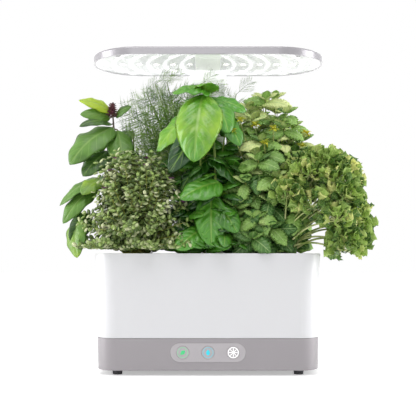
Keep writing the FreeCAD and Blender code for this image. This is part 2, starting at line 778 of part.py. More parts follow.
def make_basket(name, x, y):
    """A slotted basket that hangs in its hole by a flange."""
    low = f"{DECK_TOP} - basket_length"
    flange = rod("basket_flange_" + name, x, y, DECK_TOP, "basket_flange", "basket_flange_height")
    body = cone("basket_body_" + name, x, y, low, "basket_bottom", "basket_top", f"basket_length + basket_flange_height")
    room = cone(
        "basket_room_" + name, x, y, f"{low} + basket_wall",
        "basket_bottom - 2 * basket_wall", "basket_top - 2 * basket_wall", "basket_length + basket_flange_height",
    )
    slots = []
    for index in range(4):
        slot = document.addObject("Part::Box", f"basket_slot_{name}_{index}")
        bind(slot, Length="basket_top + 4", Width="basket_slot", Height="basket_length - basket_solid_top - basket_wall")
        turn = math.radians(45 * index)
        slot.Placement = FreeCAD.Placement(Vector(0, 0, 0), FreeCAD.Rotation(Vector(0, 0, 1), 45 * index))
        half = "(basket_top / 2 + 2)"
        across = f"{x} - {half} * {math.cos(turn):.6f} + basket_slot / 2 * {math.sin(turn):.6f}"
        along = f"{y} - {half} * {math.sin(turn):.6f} - basket_slot / 2 * {math.cos(turn):.6f}"
        for axis, expression in zip("xyz", (across, along, f"{low} + basket_wall")):
            slot.setExpression(f"Placement.Base.{axis}", named(expression))
        slots.append(slot)
    piece(cut("basket_cut_" + name, fuse("basket_solid_" + name, flange, body), room, *slots), "grow_basket_" + name)


def sponge_diameter(height):
    """The basket's inner width at a height over its floor, less a clearance on each side."""
    return f"(basket_bottom + (basket_top - basket_bottom) * ({height}) / basket_length - 2 * basket_wall - 4 * clearance)"


def make_pods():
    for name, x, y in pods():
        make_basket(name, x, y)
        top = f"{FLANGE_TOP} - sponge_drop"
        height = f"(basket_length + basket_flange_height - sponge_drop)"
        low_width = sponge_diameter(f"{height} - sponge_length - basket_wall")
        high_width = sponge_diameter(f"{height} - basket_wall")
        piece(cone("sponge_cone_" + name, x, y, f"{top} - sponge_length", low_width, high_width, "sponge_length"), "sponge_" + name)
        disc = rod("label_disc_" + name, x, y, FLANGE_TOP, "label_diameter", "label_thickness")
        hole = rod("label_hole_" + name, x, y, f"{FLANGE_TOP} - 1", "label_hole", "label_thickness + 2")
        piece(cut("label_cut_" + name, disc, hole), "pod_label_" + name)


def make_pump():
    """The pump on the bowl's floor: chamber, impeller, side filter and the tube up to the deck."""
    case = rounded_prism("pump_case", "pump_x", "pump_y", BOWL_FLOOR_TOP, "pump_width", "pump_depth", "5", "pump_height")
    chamber_low = f"({BOWL_FLOOR_TOP} + pump_chamber_floor)"
    chamber = rod("pump_chamber_rod", "pump_x", "pump_y", chamber_low, "pump_chamber", "pump_chamber_height")
    outlet = rod("pump_outlet_hole", "pump_x", "pump_y", chamber_low, "outlet_bore", "pump_height")
    inlet = block(
        "pump_inlet", "pump_x", "pump_y - pump_depth / 2", chamber_low, "pump_width / 2", "pump_depth", "pump_chamber_height / 2",
    )
    pocket = block(
        "filter_pocket", "pump_x", "pump_y - pump_depth / 2 + filter_thickness / 2", f"{BOWL_FLOOR_TOP} + pump_wall",
        "pump_width - 2 * pump_wall", "filter_thickness", "pump_height - 2 * pump_wall",
    )
    piece(cut("pump_housing_cut", case, chamber, outlet, inlet, pocket), "pump_housing")
    foam = block(
        "pump_filter_block", "pump_x", "pump_y - pump_depth / 2 + filter_thickness / 2", f"{BOWL_FLOOR_TOP} + pump_wall",
        "pump_width - 2 * pump_wall - 2 * clearance", "filter_thickness", "pump_height - 2 * pump_wall - clearance",
    )
    piece(foam, "pump_filter")
    low = f"({chamber_low} + impeller_gap)"
    height = "(pump_chamber_height - 2 * impeller_gap)"
    parts = [rod("impeller_hub_rod", "pump_x", "pump_y", low, "impeller_hub", height)]
    vane_length = "(pump_chamber - 2 * impeller_gap)"
    for index in range(3):
        vane = document.addObject("Part::Box", f"impeller_vane_{index}")
        bind(vane, Length=vane_length, Width="vane_thickness", Height=height)
        turn = math.radians(60 * index)
        vane.Placement = FreeCAD.Placement(Vector(0, 0, 0), FreeCAD.Rotation(Vector(0, 0, 1), 60 * index))
        across = f"pump_x - {vane_length} / 2 * {math.cos(turn):.6f} + vane_thickness / 2 * {math.sin(turn):.6f}"
        along = f"pump_y - {vane_length} / 2 * {math.sin(turn):.6f} - vane_thickness / 2 * {math.cos(turn):.6f}"
        for axis, expression in zip("xyz", (across, along, low)):
            vane.setExpression(f"Placement.Base.{axis}", named(expression))
        parts.append(vane)
    piece(fuse("impeller_solid", *parts), "pump_impeller")
    pump_top = f"({BOWL_FLOOR_TOP} + pump_height)"
    outer = rod("outlet_outer", "pump_x", "pump_y", pump_top, "outlet_diameter", f"{DECK_TOP} - {pump_top}")
    bore = rod("outlet_inner", "pump_x", "pump_y", f"{pump_top} - 1", "outlet_bore", f"{DECK_TOP} - {pump_top} + 2")
    piece(cut("outlet_cut", outer, bore), "pump_outlet_tube")


def make_float():
    """The float that rides up and down its guide pin as the water rises."""
    flange = rod("guide_flange_rod", "float_x", "pod_back_y", f"{DECK_LOW} - 2", "guide_flange", "2")
    pin = rod("guide_pin", "float_x", "pod_back_y", "float_low - guide_stop_height", "guide_diameter", f"{DECK_LOW} - float_low + guide_stop_height")
    stop = rod("guide_stop_rod", "float_x", "pod_back_y", "float_low - guide_stop_height", "guide_stop", "guide_stop_height")
    piece(fuse("float_guide_solid", flange, pin, stop), "float_guide")
    ring = rod("float_ring", "float_x", "pod_back_y", "float_low", "float_diameter", "float_height")
    bore = rod("float_bore", "float_x", "pod_back_y", "float_low - 1", "guide_diameter + 3 * clearance", "float_height + 2")
    piece(cut("float_cut", ring, bore), "float")


GOLDEN_TURN = 137.5


def stalk(start, end, radius, sides=5):
    """A stem with flat sides from one point to another."""
    run = end - start
    side = run.cross(Vector(0.3, 0.9, 0.1)).normalize()
    up = run.cross(side).normalize()
    points = []
    for index in range(sides + 1):
        turn = 2 * math.pi * index / sides
        points.append(start + side * (radius * math.cos(turn)) + up * (radius * math.sin(turn)))
    return Part.Face(Part.makePolygon(points)).extrude(run)


def leaf(base, tip, side, shape):
    """A flat leaf from its base to its tip. The shape lists its half widths at even steps."""
    run = tip - base
    normal = run.cross(side).normalize()
    across = normal.cross(run).normalize()
    count = len(shape) + 1
    right = [base + run * ((step + 1) / count) + across * (run.Length * half) for step, half in enumerate(shape)]
    left = [base + run * ((step + 1) / count) - across * (run.Length * half) for step, half in enumerate(shape)]
    points = [base, *right, tip, *reversed(left), base]
    thickness = value("leaf_thickness")
    face = Part.Face(Part.makePolygon(points))
    face.translate(normal * (-thickness / 2))
    return face.extrude(normal * thickness)


OVATE = (0.30, 0.27)
NARROW = (0.12, 0.11)
FERN = (0.16, 0.22, 0.10)
FAN = (0.26, 0.44, 0.34)


def grow(label, pod_x, pod_y, crown, top, stems, leaf_pairs, leaf_length, shape, territory):
    """Grows one herb: stems fan out from its pod to a domed crown and carry pairs of leaves.

    The crown is (middle x, middle y, half width, half depth, height of its edge). What leaves the
    herb's territory is trimmed off, so that neighbours stay apart.
    """
    crown_x, crown_y, half_width, half_depth, edge_height = crown
    radius = value("stem_diameter") / 2
    root = Vector(value(pod_x), value(pod_y), value(f"{FLANGE_TOP} - sponge_drop"))
    neck = root + Vector(0, 0, 12)
    branches = [stalk(root, neck + Vector(0, 0, 3), radius * 2.4, sides=8)]
    for index in range(stems):
        reach = math.sqrt((index + 0.5) / stems)
        turn = math.radians(GOLDEN_TURN * index)
        tip = Vector(
            crown_x + half_width * reach * math.cos(turn),
            crown_y + half_depth * reach * math.sin(turn),
            value(top) - (value(top) - edge_height) * reach ** 2.2,
        )
        outward = Vector(math.cos(turn), math.sin(turn), 0)
        aside = Vector(-math.sin(turn), math.cos(turn), 0)
        length = leaf_length * (0.85 + 0.3 * ((index * 7) % 5) / 4)
        leaves = [leaf(tip, tip + (outward + Vector(0, 0, 0.5)).normalize() * length * 0.7, aside, shape)]
        for pair in range(leaf_pairs):
            node = neck + (tip - neck) * (0.55 + 0.4 * pair / leaf_pairs)
            swing = math.radians(90 * (pair % 2) + 20)
            spread = outward * math.cos(swing) + aside * math.sin(swing)
            for hand in (-1, 1):
                way = (spread * hand + outward * 0.3 + Vector(0, 0, 0.25 - 0.2 * pair)).normalize()
                leaves.append(leaf(node, node + way * length, way.cross(Vector(0, 0, 1)), shape))
        branches.append(stalk(neck, tip, radius * 0.7).multiFuse(leaves))
    herb = branches[0].multiFuse(branches[1:])
    outline, y_low, y_high = territory
    points = [Vector(x, y_low, z) for x, z in outline]
    region = Part.Face(Part.makePolygon([*points, points[0]])).extrude(Vector(0, y_high - y_low, 0))
    stub = Part.makeCylinder(radius * 2.6, 30, root)
    herb = herb.common(region.fuse(stub))
    thing = document.addObject("Part::Feature", label + "_herb")
    thing.Shape = max(herb.Solids, key=lambda solid: solid.Volume)
    piece(thing, label)


def make_herbs():
    """Six herbs, each in its own territory: three along the front and three along the back."""
    gap = value("plant_gap")
    floor = value(LABEL_TOP) + gap
    ceiling = value("upper_tube_top") - 3
    outside = value("rim_width") / 2 + 3
    spill = value("rim_height") - 8
    left_wall = -outside - 60
    right_wall = outside + 60
    pitch = value("pod_pitch")
    row_line = value("(pod_front_y + pod_back_y) / 2")
    front = -value("rim_depth") / 2 - 45
    back = value(f"{RECESS_FRONT}") - 2
    aside = value("rim_depth") / 2 + 10
    shoulder = floor + 60

    front_left = [(left_wall, spill), (-outside, spill), (-outside, floor), (-pitch / 2, floor), (-pitch / 3, shoulder), (-pitch / 3, ceiling), (left_wall, ceiling)]
    front_middle = [(-pitch / 2 + gap, floor), (pitch / 2, floor), (pitch / 2, ceiling), (-pitch / 3 + gap, ceiling), (-pitch / 3 + gap, shoulder)]
    front_right = [(pitch / 2 + gap, floor), (outside, floor), (outside, spill), (right_wall, spill), (right_wall, ceiling), (pitch / 2 + gap, ceiling)]
    back_left = [(left_wall, spill), (-outside, spill), (-outside, floor), (-pitch / 2, floor), (-pitch, shoulder), (-pitch, ceiling), (left_wall, ceiling)]
    back_middle = [(-pitch / 2 + gap, floor), (pitch / 3, floor), (pitch / 3, ceiling), (-pitch + gap, ceiling), (-pitch + gap, shoulder)]
    back_right = [(pitch / 3 + gap, floor), (outside, floor), (outside, spill), (right_wall, spill), (right_wall, ceiling), (pitch / 3 + gap, ceiling)]

    front_depth = (front, row_line - gap / 2)
    grow("thyme", "-pod_pitch", "pod_front_y", (-84, -52, 60, 34, 180), "thyme_top", 12, 2, 20, NARROW, (front_left, *front_depth))
    grow("genovese_basil", "0", "pod_front_y", (-12, -50, 36, 30, 200), "genovese_basil_top", 8, 2, 46, OVATE, (front_middle, *front_depth))
    grow("curly_parsley", "pod_pitch", "pod_front_y", (128, -48, 52, 34, 175), "parsley_top", 11, 1, 34, FAN, (front_right, *front_depth))
    low = row_line + gap / 2
    grow("thai_basil", "-pod_pitch", "pod_back_y", (-132, 26, 44, 34, 190), "thai_basil_top", 9, 2, 38, OVATE, (back_left, low, aside))
    grow("dill", "0", "pod_back_y", (-40, 16, 44, 24, 250), "dill_top", 10, 2, 36, FERN, (back_middle, low, back))
    grow("mint", "pod_pitch", "pod_back_y", (74, 22, 58, 34, 190), "mint_top", 10, 2, 36, OVATE, (back_right, low, back))


make_base_shell()
make_bottom_plate()
make_feet()
make_base_screws()
make_control_panel()
make_buttons()
make_control_board()
make_dc_jack()
make_mast()
make_bracket()
make_hood_shell()
make_light_parts()
make_lenses()
make_hood_screws()
make_centre_cover()
make_bowl()
make_grow_deck()
make_pods()
make_pump()
make_float()
make_herbs()

document.recompute()
for thing in document.Objects:
    if "Invalid" in thing.State or "Error" in thing.State:
        raise RuntimeError(f"{thing.Name} failed: {thing.State}")
for thing in pieces:
    if thing.Shape.isNull() or not thing.Shape.isValid():
        raise RuntimeError(f"{thing.Label} has no valid shape")
for thing in pieces:
    thing.Shape.exportStep(f"parts/{thing.Label}.step")
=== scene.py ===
"""The looks of a countertop hydroponic garden: finishes for its casings and six detailed herbs."""
import math
import random

import bmesh
import bpy
import numpy as np
from mathutils import Matrix, Vector


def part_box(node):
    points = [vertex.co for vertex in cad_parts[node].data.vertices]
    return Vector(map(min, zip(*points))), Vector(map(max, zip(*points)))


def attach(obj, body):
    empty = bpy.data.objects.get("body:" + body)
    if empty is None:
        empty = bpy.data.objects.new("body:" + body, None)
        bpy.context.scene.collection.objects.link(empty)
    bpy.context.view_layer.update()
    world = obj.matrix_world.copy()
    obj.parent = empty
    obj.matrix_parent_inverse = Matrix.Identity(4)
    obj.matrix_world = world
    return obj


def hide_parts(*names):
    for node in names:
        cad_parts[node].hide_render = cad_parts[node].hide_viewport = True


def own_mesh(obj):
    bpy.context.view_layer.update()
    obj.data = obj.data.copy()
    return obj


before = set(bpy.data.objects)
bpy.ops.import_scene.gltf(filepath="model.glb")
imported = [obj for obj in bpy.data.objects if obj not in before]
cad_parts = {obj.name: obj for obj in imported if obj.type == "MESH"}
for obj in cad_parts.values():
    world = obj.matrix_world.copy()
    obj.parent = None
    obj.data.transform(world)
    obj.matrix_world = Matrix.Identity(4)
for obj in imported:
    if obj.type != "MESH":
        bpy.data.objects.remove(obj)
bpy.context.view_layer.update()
MM = 0.001
WHITE = (1.0, 1.0, 1.0, 1.0)


# Colours and materials


GRAIN_SIZE = 1400.0


def linear(red, green, blue):
    """A colour written as 0 to 255 values, as the shader wants it."""
    channels = []
    for value in (red, green, blue):
        share = value / 255
        channels.append(share / 12.92 if share <= 0.04045 else ((share + 0.055) / 1.055) ** 2.4)
    return (*channels, 1.0)


def feed(tree, node, values):
    """Links or sets inputs of a node, each given by its name or number."""
    for title, value in values.items():
        if isinstance(value, bpy.types.NodeSocket):
            tree.links.new(value, node.inputs[title])
        elif value is not None:
            node.inputs[title].default_value = value


def new_group(name, inputs, outputs):
    """A shader node group with named number or colour sockets."""
    group = bpy.data.node_groups.new(name, "ShaderNodeTree")
    for title, value in inputs.items():
        kind = "NodeSocketColor" if isinstance(value, tuple) else "NodeSocketFloat"
        socket = group.interface.new_socket(title, in_out="INPUT", socket_type=kind)
        socket.default_value = value
    for title, kind in outputs.items():
        group.interface.new_socket(title, in_out="OUTPUT", socket_type=kind)
    return group, group.nodes.new("NodeGroupInput"), group.nodes.new("NodeGroupOutput")


def math_node(tree, operation, first, second=None, clamp=False):
    """One step of arithmetic on values or plain numbers."""
    node = tree.nodes.new("ShaderNodeMath")
    node.operation = operation
    node.use_clamp = clamp
    feed(tree, node, {0: first, 1: second})
    return node.outputs[0]


def remap(tree, value, low, high, to_low=0.0, to_high=1.0):
    """A smooth step of a value from one range to another."""
    node = tree.nodes.new("ShaderNodeMapRange")
    node.interpolation_type = "SMOOTHSTEP"
    feed(tree, node, {0: value, "From Min": low, "From Max": high, "To Min": to_low, "To Max": to_high})
    return node.outputs["Result"]


def mix_colours(tree, share, first, second):
    """The first colour going over to the second as the share rises."""
    node = tree.nodes.new("ShaderNodeMix")
    node.data_type = "RGBA"
    feed(tree, node, {0: share, 6: first, 7: second})
    return node.outputs[2]


def object_noise(tree, scale, detail=3.0, roughness=0.55):
    """Noise over the piece's own coordinates, in metres."""
    place = tree.nodes.new("ShaderNodeTexCoord").outputs["Object"]
    noise = tree.nodes.new("ShaderNodeTexNoise")
    feed(tree, noise, {"Detail": detail, "Roughness": roughness, "Scale": scale, "Vector": place})
    return noise.outputs["Fac"]


def build_moulded_group():
    """Fine moulded grain and faint handling marks of plastic, as height, roughness and colour."""
    group, given, result = new_group(
        "Moulded plastic",
        {"Roughness": 0.4, "Roughness spread": 0.08, "Colour": (0.8, 0.8, 0.8, 1.0), "Tone": 0.03},
        {"Height": "NodeSocketFloat", "Roughness": "NodeSocketFloat", "Colour": "NodeSocketColor"},
    )
    handled = (0.45, 0.44, 0.42, 1.0)
    cloud = object_noise(group, 22.0, 4.0)
    centred = math_node(group, "SUBTRACT", cloud, 0.5)
    spread = math_node(group, "MULTIPLY", centred, given.outputs["Roughness spread"])
    toned = math_node(group, "MULTIPLY", cloud, given.outputs["Tone"])
    feed(group, result, {
        "Height": object_noise(group, GRAIN_SIZE, 2.0),
        "Roughness": math_node(group, "ADD", given.outputs["Roughness"], spread),
        "Colour": mix_colours(group, toned, given.outputs["Colour"], handled),
    })
    return group


def build_vein_group():
    """Midrib and side veins along a leaf's own map: a mask for the colour and a height for the relief."""
    group, given, result = new_group(
        "Leaf veins",
        {"Pairs": 7.0, "Sweep": 2.2, "Width": 0.16},
        {"Veins": "NodeSocketFloat", "Height": "NodeSocketFloat"},
    )
    leaf_map = group.nodes.new("ShaderNodeUVMap")
    leaf_map.uv_map = "UVMap"
    split = group.nodes.new("ShaderNodeSeparateXYZ")
    feed(group, split, {0: leaf_map.outputs["UV"]})
    off_middle = math_node(group, "ABSOLUTE", math_node(group, "SUBTRACT", split.outputs["X"], 0.5))
    aside = math_node(group, "MULTIPLY", off_middle, 2.0)
    along = math_node(group, "MULTIPLY", split.outputs["Y"], given.outputs["Pairs"])
    swept = math_node(group, "SUBTRACT", along, math_node(group, "MULTIPLY", aside, given.outputs["Sweep"]))
    between = math_node(group, "MULTIPLY", math_node(group, "PINGPONG", swept, 0.5), 2.0)
    side_vein = remap(group, between, 0.0, given.outputs["Width"], 1.0, 0.0)
    fading = math_node(group, "MULTIPLY", side_vein, remap(group, aside, 0.55, 1.0, 0.75, 0.1))
    midrib = remap(group, aside, 0.03, 0.10, 1.0, 0.0)
    pillow = math_node(group, "POWER", between, 0.6)
    feed(group, result, {
        "Veins": math_node(group, "MAXIMUM", fading, midrib),
        "Height": math_node(group, "SUBTRACT", pillow, midrib),
    })
    return group


MOULDED = build_moulded_group()
VEINS = build_vein_group()

# The moulded arcs of the lamp's clear covers
ARC_RADIUS = 0.078
ARC_STEP = 0.021
FIRST_ARC = 0.033


def new_material(name):
    """A material, its tree and its shader."""
    material = bpy.data.materials.new(name)
    material.use_nodes = True
    return material, material.node_tree, material.node_tree.nodes["Principled BSDF"]


def use_group(tree, shared, values):
    """Places a shared node group in a material with its own values."""
    group = tree.nodes.new("ShaderNodeGroup")
    group.node_tree = shared
    feed(tree, group, values)
    return group


def add_bump(tree, shader, height, strength, distance):
    """Relief from a height."""
    bump = tree.nodes.new("ShaderNodeBump")
    feed(tree, bump, {"Strength": strength, "Distance": distance, "Height": height})
    feed(tree, shader, {"Normal": bump.outputs["Normal"]})


def moulded_plastic(
    name, colour, roughness, spread=0.08, tone=0.03, relief=0.15, coat=0.0, metallic=0.0, lit=0.0,
):
    """Moulded plastic, with some metallic for silver paint, and a painted glow (white emission, lit) where
    the lamp's own light fills it.
    """
    material, tree, shader = new_material(name)
    group = use_group(tree, MOULDED, {
        "Roughness": roughness, "Roughness spread": spread, "Colour": linear(*colour), "Tone": tone,
    })
    # lit is painted light: a white glow on a part that is no lamp
    feed(tree, shader, {
        "Base Color": group.outputs["Colour"], "Roughness": group.outputs["Roughness"], "Coat Weight": coat,
        "Coat Roughness": 0.12, "Metallic": metallic, "Emission Color": WHITE, "Emission Strength": lit,
    })
    add_bump(tree, shader, group.outputs["Height"], relief, 0.0002)
    return material


def leaf_finish(name, tones, pairs, sweep, width, relief, roughness, coat=0.0, mottle=70.0):
    """A leaf: tone from each leaf's own shade, mottled lamina, paler veins and quilted relief.

    The tones are those of a dark, a fresh and a bright leaf, and of the veins.
    """
    dark, fresh, bright, vein = (linear(*tone) for tone in tones)
    material, tree, shader = new_material(name)
    group = use_group(tree, VEINS, {"Pairs": pairs, "Sweep": sweep, "Width": width})
    shade = tree.nodes.new("ShaderNodeAttribute")
    shade.attribute_name = "shade"
    mottled = object_noise(tree, mottle, 4.0, 0.6)
    wander = math_node(tree, "MULTIPLY", math_node(tree, "SUBTRACT", mottled, 0.5), 0.7)
    level = math_node(tree, "ADD", shade.outputs["Fac"], wander)
    body = mix_colours(tree, remap(tree, level, 0.0, 0.55), dark, fresh)
    body = mix_colours(tree, remap(tree, level, 0.62, 1.05), body, bright)
    veins = math_node(tree, "MULTIPLY", group.outputs["Veins"], 0.55)
    feed(tree, shader, {
        "Base Color": mix_colours(tree, veins, body, vein),
        "Roughness": remap(tree, mottled, 0.3, 0.7, roughness - 0.08, roughness + 0.1),
        "Coat Weight": coat, "Coat Roughness": 0.25, "Specular IOR Level": 0.4,
    })
    add_bump(tree, shader, group.outputs["Height"], relief, 0.0006)
    return material


def stem_finish(name, low, high, roughness=0.5):
    """A stem: streaked from one tone to another along the plant."""
    material, tree, shader = new_material(name)
    streak = remap(tree, object_noise(tree, 60.0, 4.0, 0.65), 0.35, 0.65)
    feed(tree, shader, {
        "Base Color": mix_colours(tree, streak, linear(*low), linear(*high)), "Roughness": roughness,
    })
    add_bump(tree, shader, object_noise(tree, 500.0, 2.0), 0.3, 0.0003)
    return material


def glow(name, colour, strength):
    """A lit chip or sign with a slightly uneven face."""
    material, tree, shader = new_material(name)
    uneven = math_node(tree, "MULTIPLY", object_noise(tree, 900.0, 2.0), 0.15)
    feed(tree, shader, {
        "Base Color": linear(*colour), "Roughness": 0.35, "Emission Strength": strength,
        "Emission Color": mix_colours(tree, uneven, linear(*colour), WHITE),
    })
    return material


def soft_solid(name, low, high, scale, relief, distance, roughness=0.9):
    """Rubber, foam, fibre or paper: two tones through noise and a rough relief."""
    material, tree, shader = new_material(name)
    noise = object_noise(tree, scale, 5.0, 0.7)
    toned = mix_colours(tree, remap(tree, noise, 0.3, 0.7), linear(*low), linear(*high))
    feed(tree, shader, {"Base Color": toned, "Roughness": roughness})
    add_bump(tree, shader, noise, relief, distance)
    return material


def clear_lens(name):
    """The hood's clear cover: see-through, with a painted glow (emission) on its moulded arcs and faintly all
    over, standing in for the lamp's light from behind.
    """
    material, tree, shader = new_material(name)
    split = tree.nodes.new("ShaderNodeSeparateXYZ")
    feed(tree, split, {0: tree.nodes.new("ShaderNodeTexCoord").outputs["Object"]})
    along = math_node(tree, "ABSOLUTE", split.outputs["X"])
    square = math_node(tree, "POWER", math_node(tree, "ABSOLUTE", split.outputs["Y"]), 2.0)
    chord = math_node(tree, "SQRT", math_node(tree, "SUBTRACT", ARC_RADIUS ** 2, square, True))
    bulge = math_node(tree, "SUBTRACT", ARC_RADIUS, chord)
    from_first = math_node(tree, "SUBTRACT", math_node(tree, "ADD", along, bulge), FIRST_ARC)
    beside = math_node(tree, "PINGPONG", from_first, ARC_STEP / 2)
    arcs = remap(tree, beside, 0.0008, 0.0042, 1.0, 0.0)
    frosted = object_noise(tree, 700.0, 2.0)
    # Emission here is painted light: the cover's arcs and face glow though the cover is not a lamp
    feed(tree, shader, {
        "Base Color": linear(250, 251, 252), "Alpha": 0.45, "Specular IOR Level": 0.2,
        "Emission Color": WHITE,
        "Emission Strength": math_node(tree, "ADD", math_node(tree, "MULTIPLY", arcs, 0.4), 0.07),
        "Roughness": remap(tree, frosted, 0.3, 0.7, 0.2, 0.36),
    })
    add_bump(tree, shader, frosted, 0.1, 0.0002)
    return material


def screw_metal(name):
    """Brushed steel."""
    material, tree, shader = new_material(name)
    brushed = object_noise(tree, 1800.0, 3.0)
    feed(tree, shader, {
        "Metallic": 1.0, "Base Color": mix_colours(tree, brushed, linear(96, 95, 98), linear(150, 149, 152)),
        "Roughness": remap(tree, brushed, 0.2, 0.8, 0.25, 0.45),
    })
    return material


KEYS = {"feed_button": "feed_key", "water_button": "water_key", "light_button": "light_key"}

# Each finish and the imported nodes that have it, by their name or its start. A later finish wins.
FINISHES = (
    (moulded_plastic("bowl white", (235, 235, 238), 0.34, 0.05, 0.02, 0.05, 0.25), ["bowl"]),
    (
        moulded_plastic("base silver grey", (158, 153, 157), 0.36, 0.05, 0.03, 0.08, 0.3, 0.25),
        ["base_shell"],
    ),
    (
        moulded_plastic("hood silver grey", (166, 163, 168), 0.3, 0.05, 0.03, 0.06, 0.4, 0.25),
        ["hood_shell"],
    ),
    (moulded_plastic("underside grey", (118, 116, 118), 0.6, 0.1, 0.06, 0.3), ["bottom_plate"]),
    (
        moulded_plastic("panel pale grey", (192, 187, 191), 0.3, 0.04, 0.02, 0.04, 0.3),
        ["control_panel", *KEYS],
    ),
    (moulded_plastic("mast white", (240, 240, 243), 0.35, 0.05, 0.02, 0.06), ["mast_", "socket_collar"]),
    # The bracket's glow (lit) is painted light from the lamp, not a lamp of its own
    (moulded_plastic("bracket white", (240, 240, 243), 0.45, 0.05, 0.01, 0.04, lit=0.6), ["hood_bracket"]),
    # The light panel and centre cover glow (lit) with painted light from the chips; they are not lamps
    (
        moulded_plastic("light panel white", (243, 243, 245), 0.45, 0.05, 0.01, 0.04, lit=0.26),
        ["hood_panel", "hood_centre_cover"],
    ),
    (moulded_plastic("deck white", (226, 226, 228), 0.5, 0.08, 0.04), ["grow_deck"]),
    (moulded_plastic("basket white", (222, 221, 214), 0.55, 0.1, 0.08), ["grow_basket_"]),
    (moulded_plastic("pump black", (34, 34, 36), 0.5, 0.1, 0.05), ["pump_", "tact_switches", "dc_jack"]),
    (
        moulded_plastic("circuit board green", (34, 92, 52), 0.35, 0.06, 0.02, coat=0.3),
        ["control_board", "led_board"],
    ),
    (moulded_plastic("float white", (228, 228, 222), 0.5), ["float"]),
    (moulded_plastic("outlet tube", (222, 226, 228), 0.25, coat=0.4), ["pump_outlet_tube"]),
    (soft_solid("foot rubber", (58, 58, 60), (82, 81, 84), 900.0, 0.3, 0.0003, 0.7), ["foot_"]),
    (soft_solid("sponge brown", (46, 32, 20), (92, 66, 42), 420.0, 0.9, 0.0012), ["sponge_"]),
    (soft_solid("filter foam", (38, 38, 40), (70, 70, 72), 700.0, 0.8, 0.0008), ["pump_filter"]),
    (soft_solid("label paper", (222, 214, 92), (196, 202, 132), 35.0, 0.1, 0.0001, 0.6), ["pod_label_"]),
    (clear_lens("clear lens"), ["lens_"]),
    (glow("lit chip", (255, 252, 240), 4.0), ["led_chips"]),
    (screw_metal("screw steel"), ["base_screws", "panel_screws"]),
)


def finish_cad_nodes():
    """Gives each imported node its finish."""
    for name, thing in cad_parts.items():
        for finish, starts in FINISHES:
            if name.startswith(tuple(starts)):
                thing.data.materials.clear()
                thing.data.materials.append(finish)


finish_cad_nodes()


# Leaves and stems


STEM_STEPS = 4


def leaf_form(length, width, arch=0.1, cup=-0.25, early=0.6, late=0.9, teeth=0, tooth=0.0, puff=0.0, pairs=7,
              twist=0.0, wave=0.0, phase=0.0, columns=8, rows=12):
    """Points and map of a leaf lying along Y with its upper side to +Z.

    The outline is widest at early / (early + late) of the length. Cup lifts or drops its margins,
    puff quilts it between its side veins, and wave ripples its margins.
    """
    along = np.linspace(0.0, 1.0, rows + 1)
    across = np.linspace(-1.0, 1.0, columns + 1)
    peak = early / (early + late)
    outline = (along ** early) * ((1 - along) ** late) / (peak ** early * (1 - peak) ** late)
    if teeth:
        outline = outline * (1 + tooth * (((along * teeth) % 1.0) - 0.5))
    half = width / 2 * outline
    v, t = np.meshgrid(along, across, indexing="ij")
    h = half[:, None] * np.ones_like(t)
    side = np.abs(t)
    quilt = 0.5 + 0.5 * np.cos(2 * np.pi * (v * pairs - side * 2.2) + np.pi)
    swell = puff * h * quilt * np.sin(np.pi * side)
    lift = cup * h * side ** 1.7 + swell + wave * h * side ** 2 * np.sin(v * 17 + phase + t * 1.5)
    lift = lift - 0.05 * h * np.exp(-((t / 0.14) ** 2))
    angle = twist * v
    x = h * t * np.cos(angle) - lift * np.sin(angle)
    raised = h * t * np.sin(angle) + lift * np.cos(angle)
    slope = 4 * arch * (1 - 2 * v)
    size = np.sqrt(1 + slope ** 2)
    y = length * v - raised * slope / size
    z = 4 * arch * length * v * (1 - v) + raised / size
    points = np.stack([x, y, z], axis=-1)
    leaf_map = np.stack([(t + 1) / 2, v], axis=-1)
    return points, leaf_map


def close_leaf(points, leaf_map, thickness):
    """Turns a leaf's grid into a closed thin body: two skins that share the outline."""
    rows, columns = points.shape[0], points.shape[1]
    upper = points.reshape(-1, 3).copy()
    inside = np.zeros((rows, columns), bool)
    inside[1:-1, 1:-1] = True
    inside = inside.reshape(-1)
    lower_index = np.arange(rows * columns)
    lower_index[inside] = rows * columns + np.arange(inside.sum())
    lower = upper[inside].copy()
    upper[inside, 2] += thickness / 2
    lower[:, 2] -= thickness / 2
    vertices = np.concatenate([upper, lower])
    flat_map = leaf_map.reshape(-1, 2)
    maps = np.concatenate([flat_map, flat_map[inside]])
    first_end, last_end = 0, (rows - 1) * columns
    faces = []
    for row in range(rows - 1):
        for column in range(columns - 1):
            a = row * columns + column
            corners = (a, a + 1, a + columns + 1, a + columns)
            if row == 0:
                corners = (first_end, a + columns + 1, a + columns)
            if row == rows - 2:
                corners = (a, a + 1, last_end)
            faces.append(list(corners))
            faces.append([int(lower_index[corner]) for corner in reversed(corners)])
    return vertices, faces, maps


def new_object(name, data):
    """Puts a mesh, curve, lamp or camera into the scene as an object."""
    thing = bpy.data.objects.new(name, data)
    bpy.context.collection.objects.link(thing)
    return thing


def mesh_piece(name, vertices, faces, material, maps=None, shades=None):
    """A smooth-shaded mesh, with a leaf map and shades where they are given."""
    mesh = bpy.data.meshes.new(name)
    mesh.from_pydata([tuple(v) for v in vertices], [], faces)
    if maps is not None:
        layer = mesh.uv_layers.new(name="UVMap")
        loops = np.zeros(len(mesh.loops), dtype=np.int32)
        mesh.loops.foreach_get("vertex_index", loops)
        layer.data.foreach_set("uv", maps[loops].astype(np.float32).ravel())
    if shades is not None:
        attribute = mesh.attributes.new("shade", "FLOAT", "POINT")
        attribute.data.foreach_set("value", np.asarray(shades, dtype=np.float32))
    mesh.polygons.foreach_set("use_smooth", [True] * len(mesh.polygons))
    mesh.materials.append(material)
    return new_object(name, mesh)


def made_real(name, source, material):
    """The finished shape of a curve or a node tree as a plain mesh piece."""
    graph = bpy.context.evaluated_depsgraph_get()
    mesh = bpy.data.meshes.new_from_object(source.evaluated_get(graph))
    bpy.data.objects.remove(source)
    mesh.name = name
    mesh.materials.clear()
    mesh.materials.append(material)
    return new_object(name, mesh)


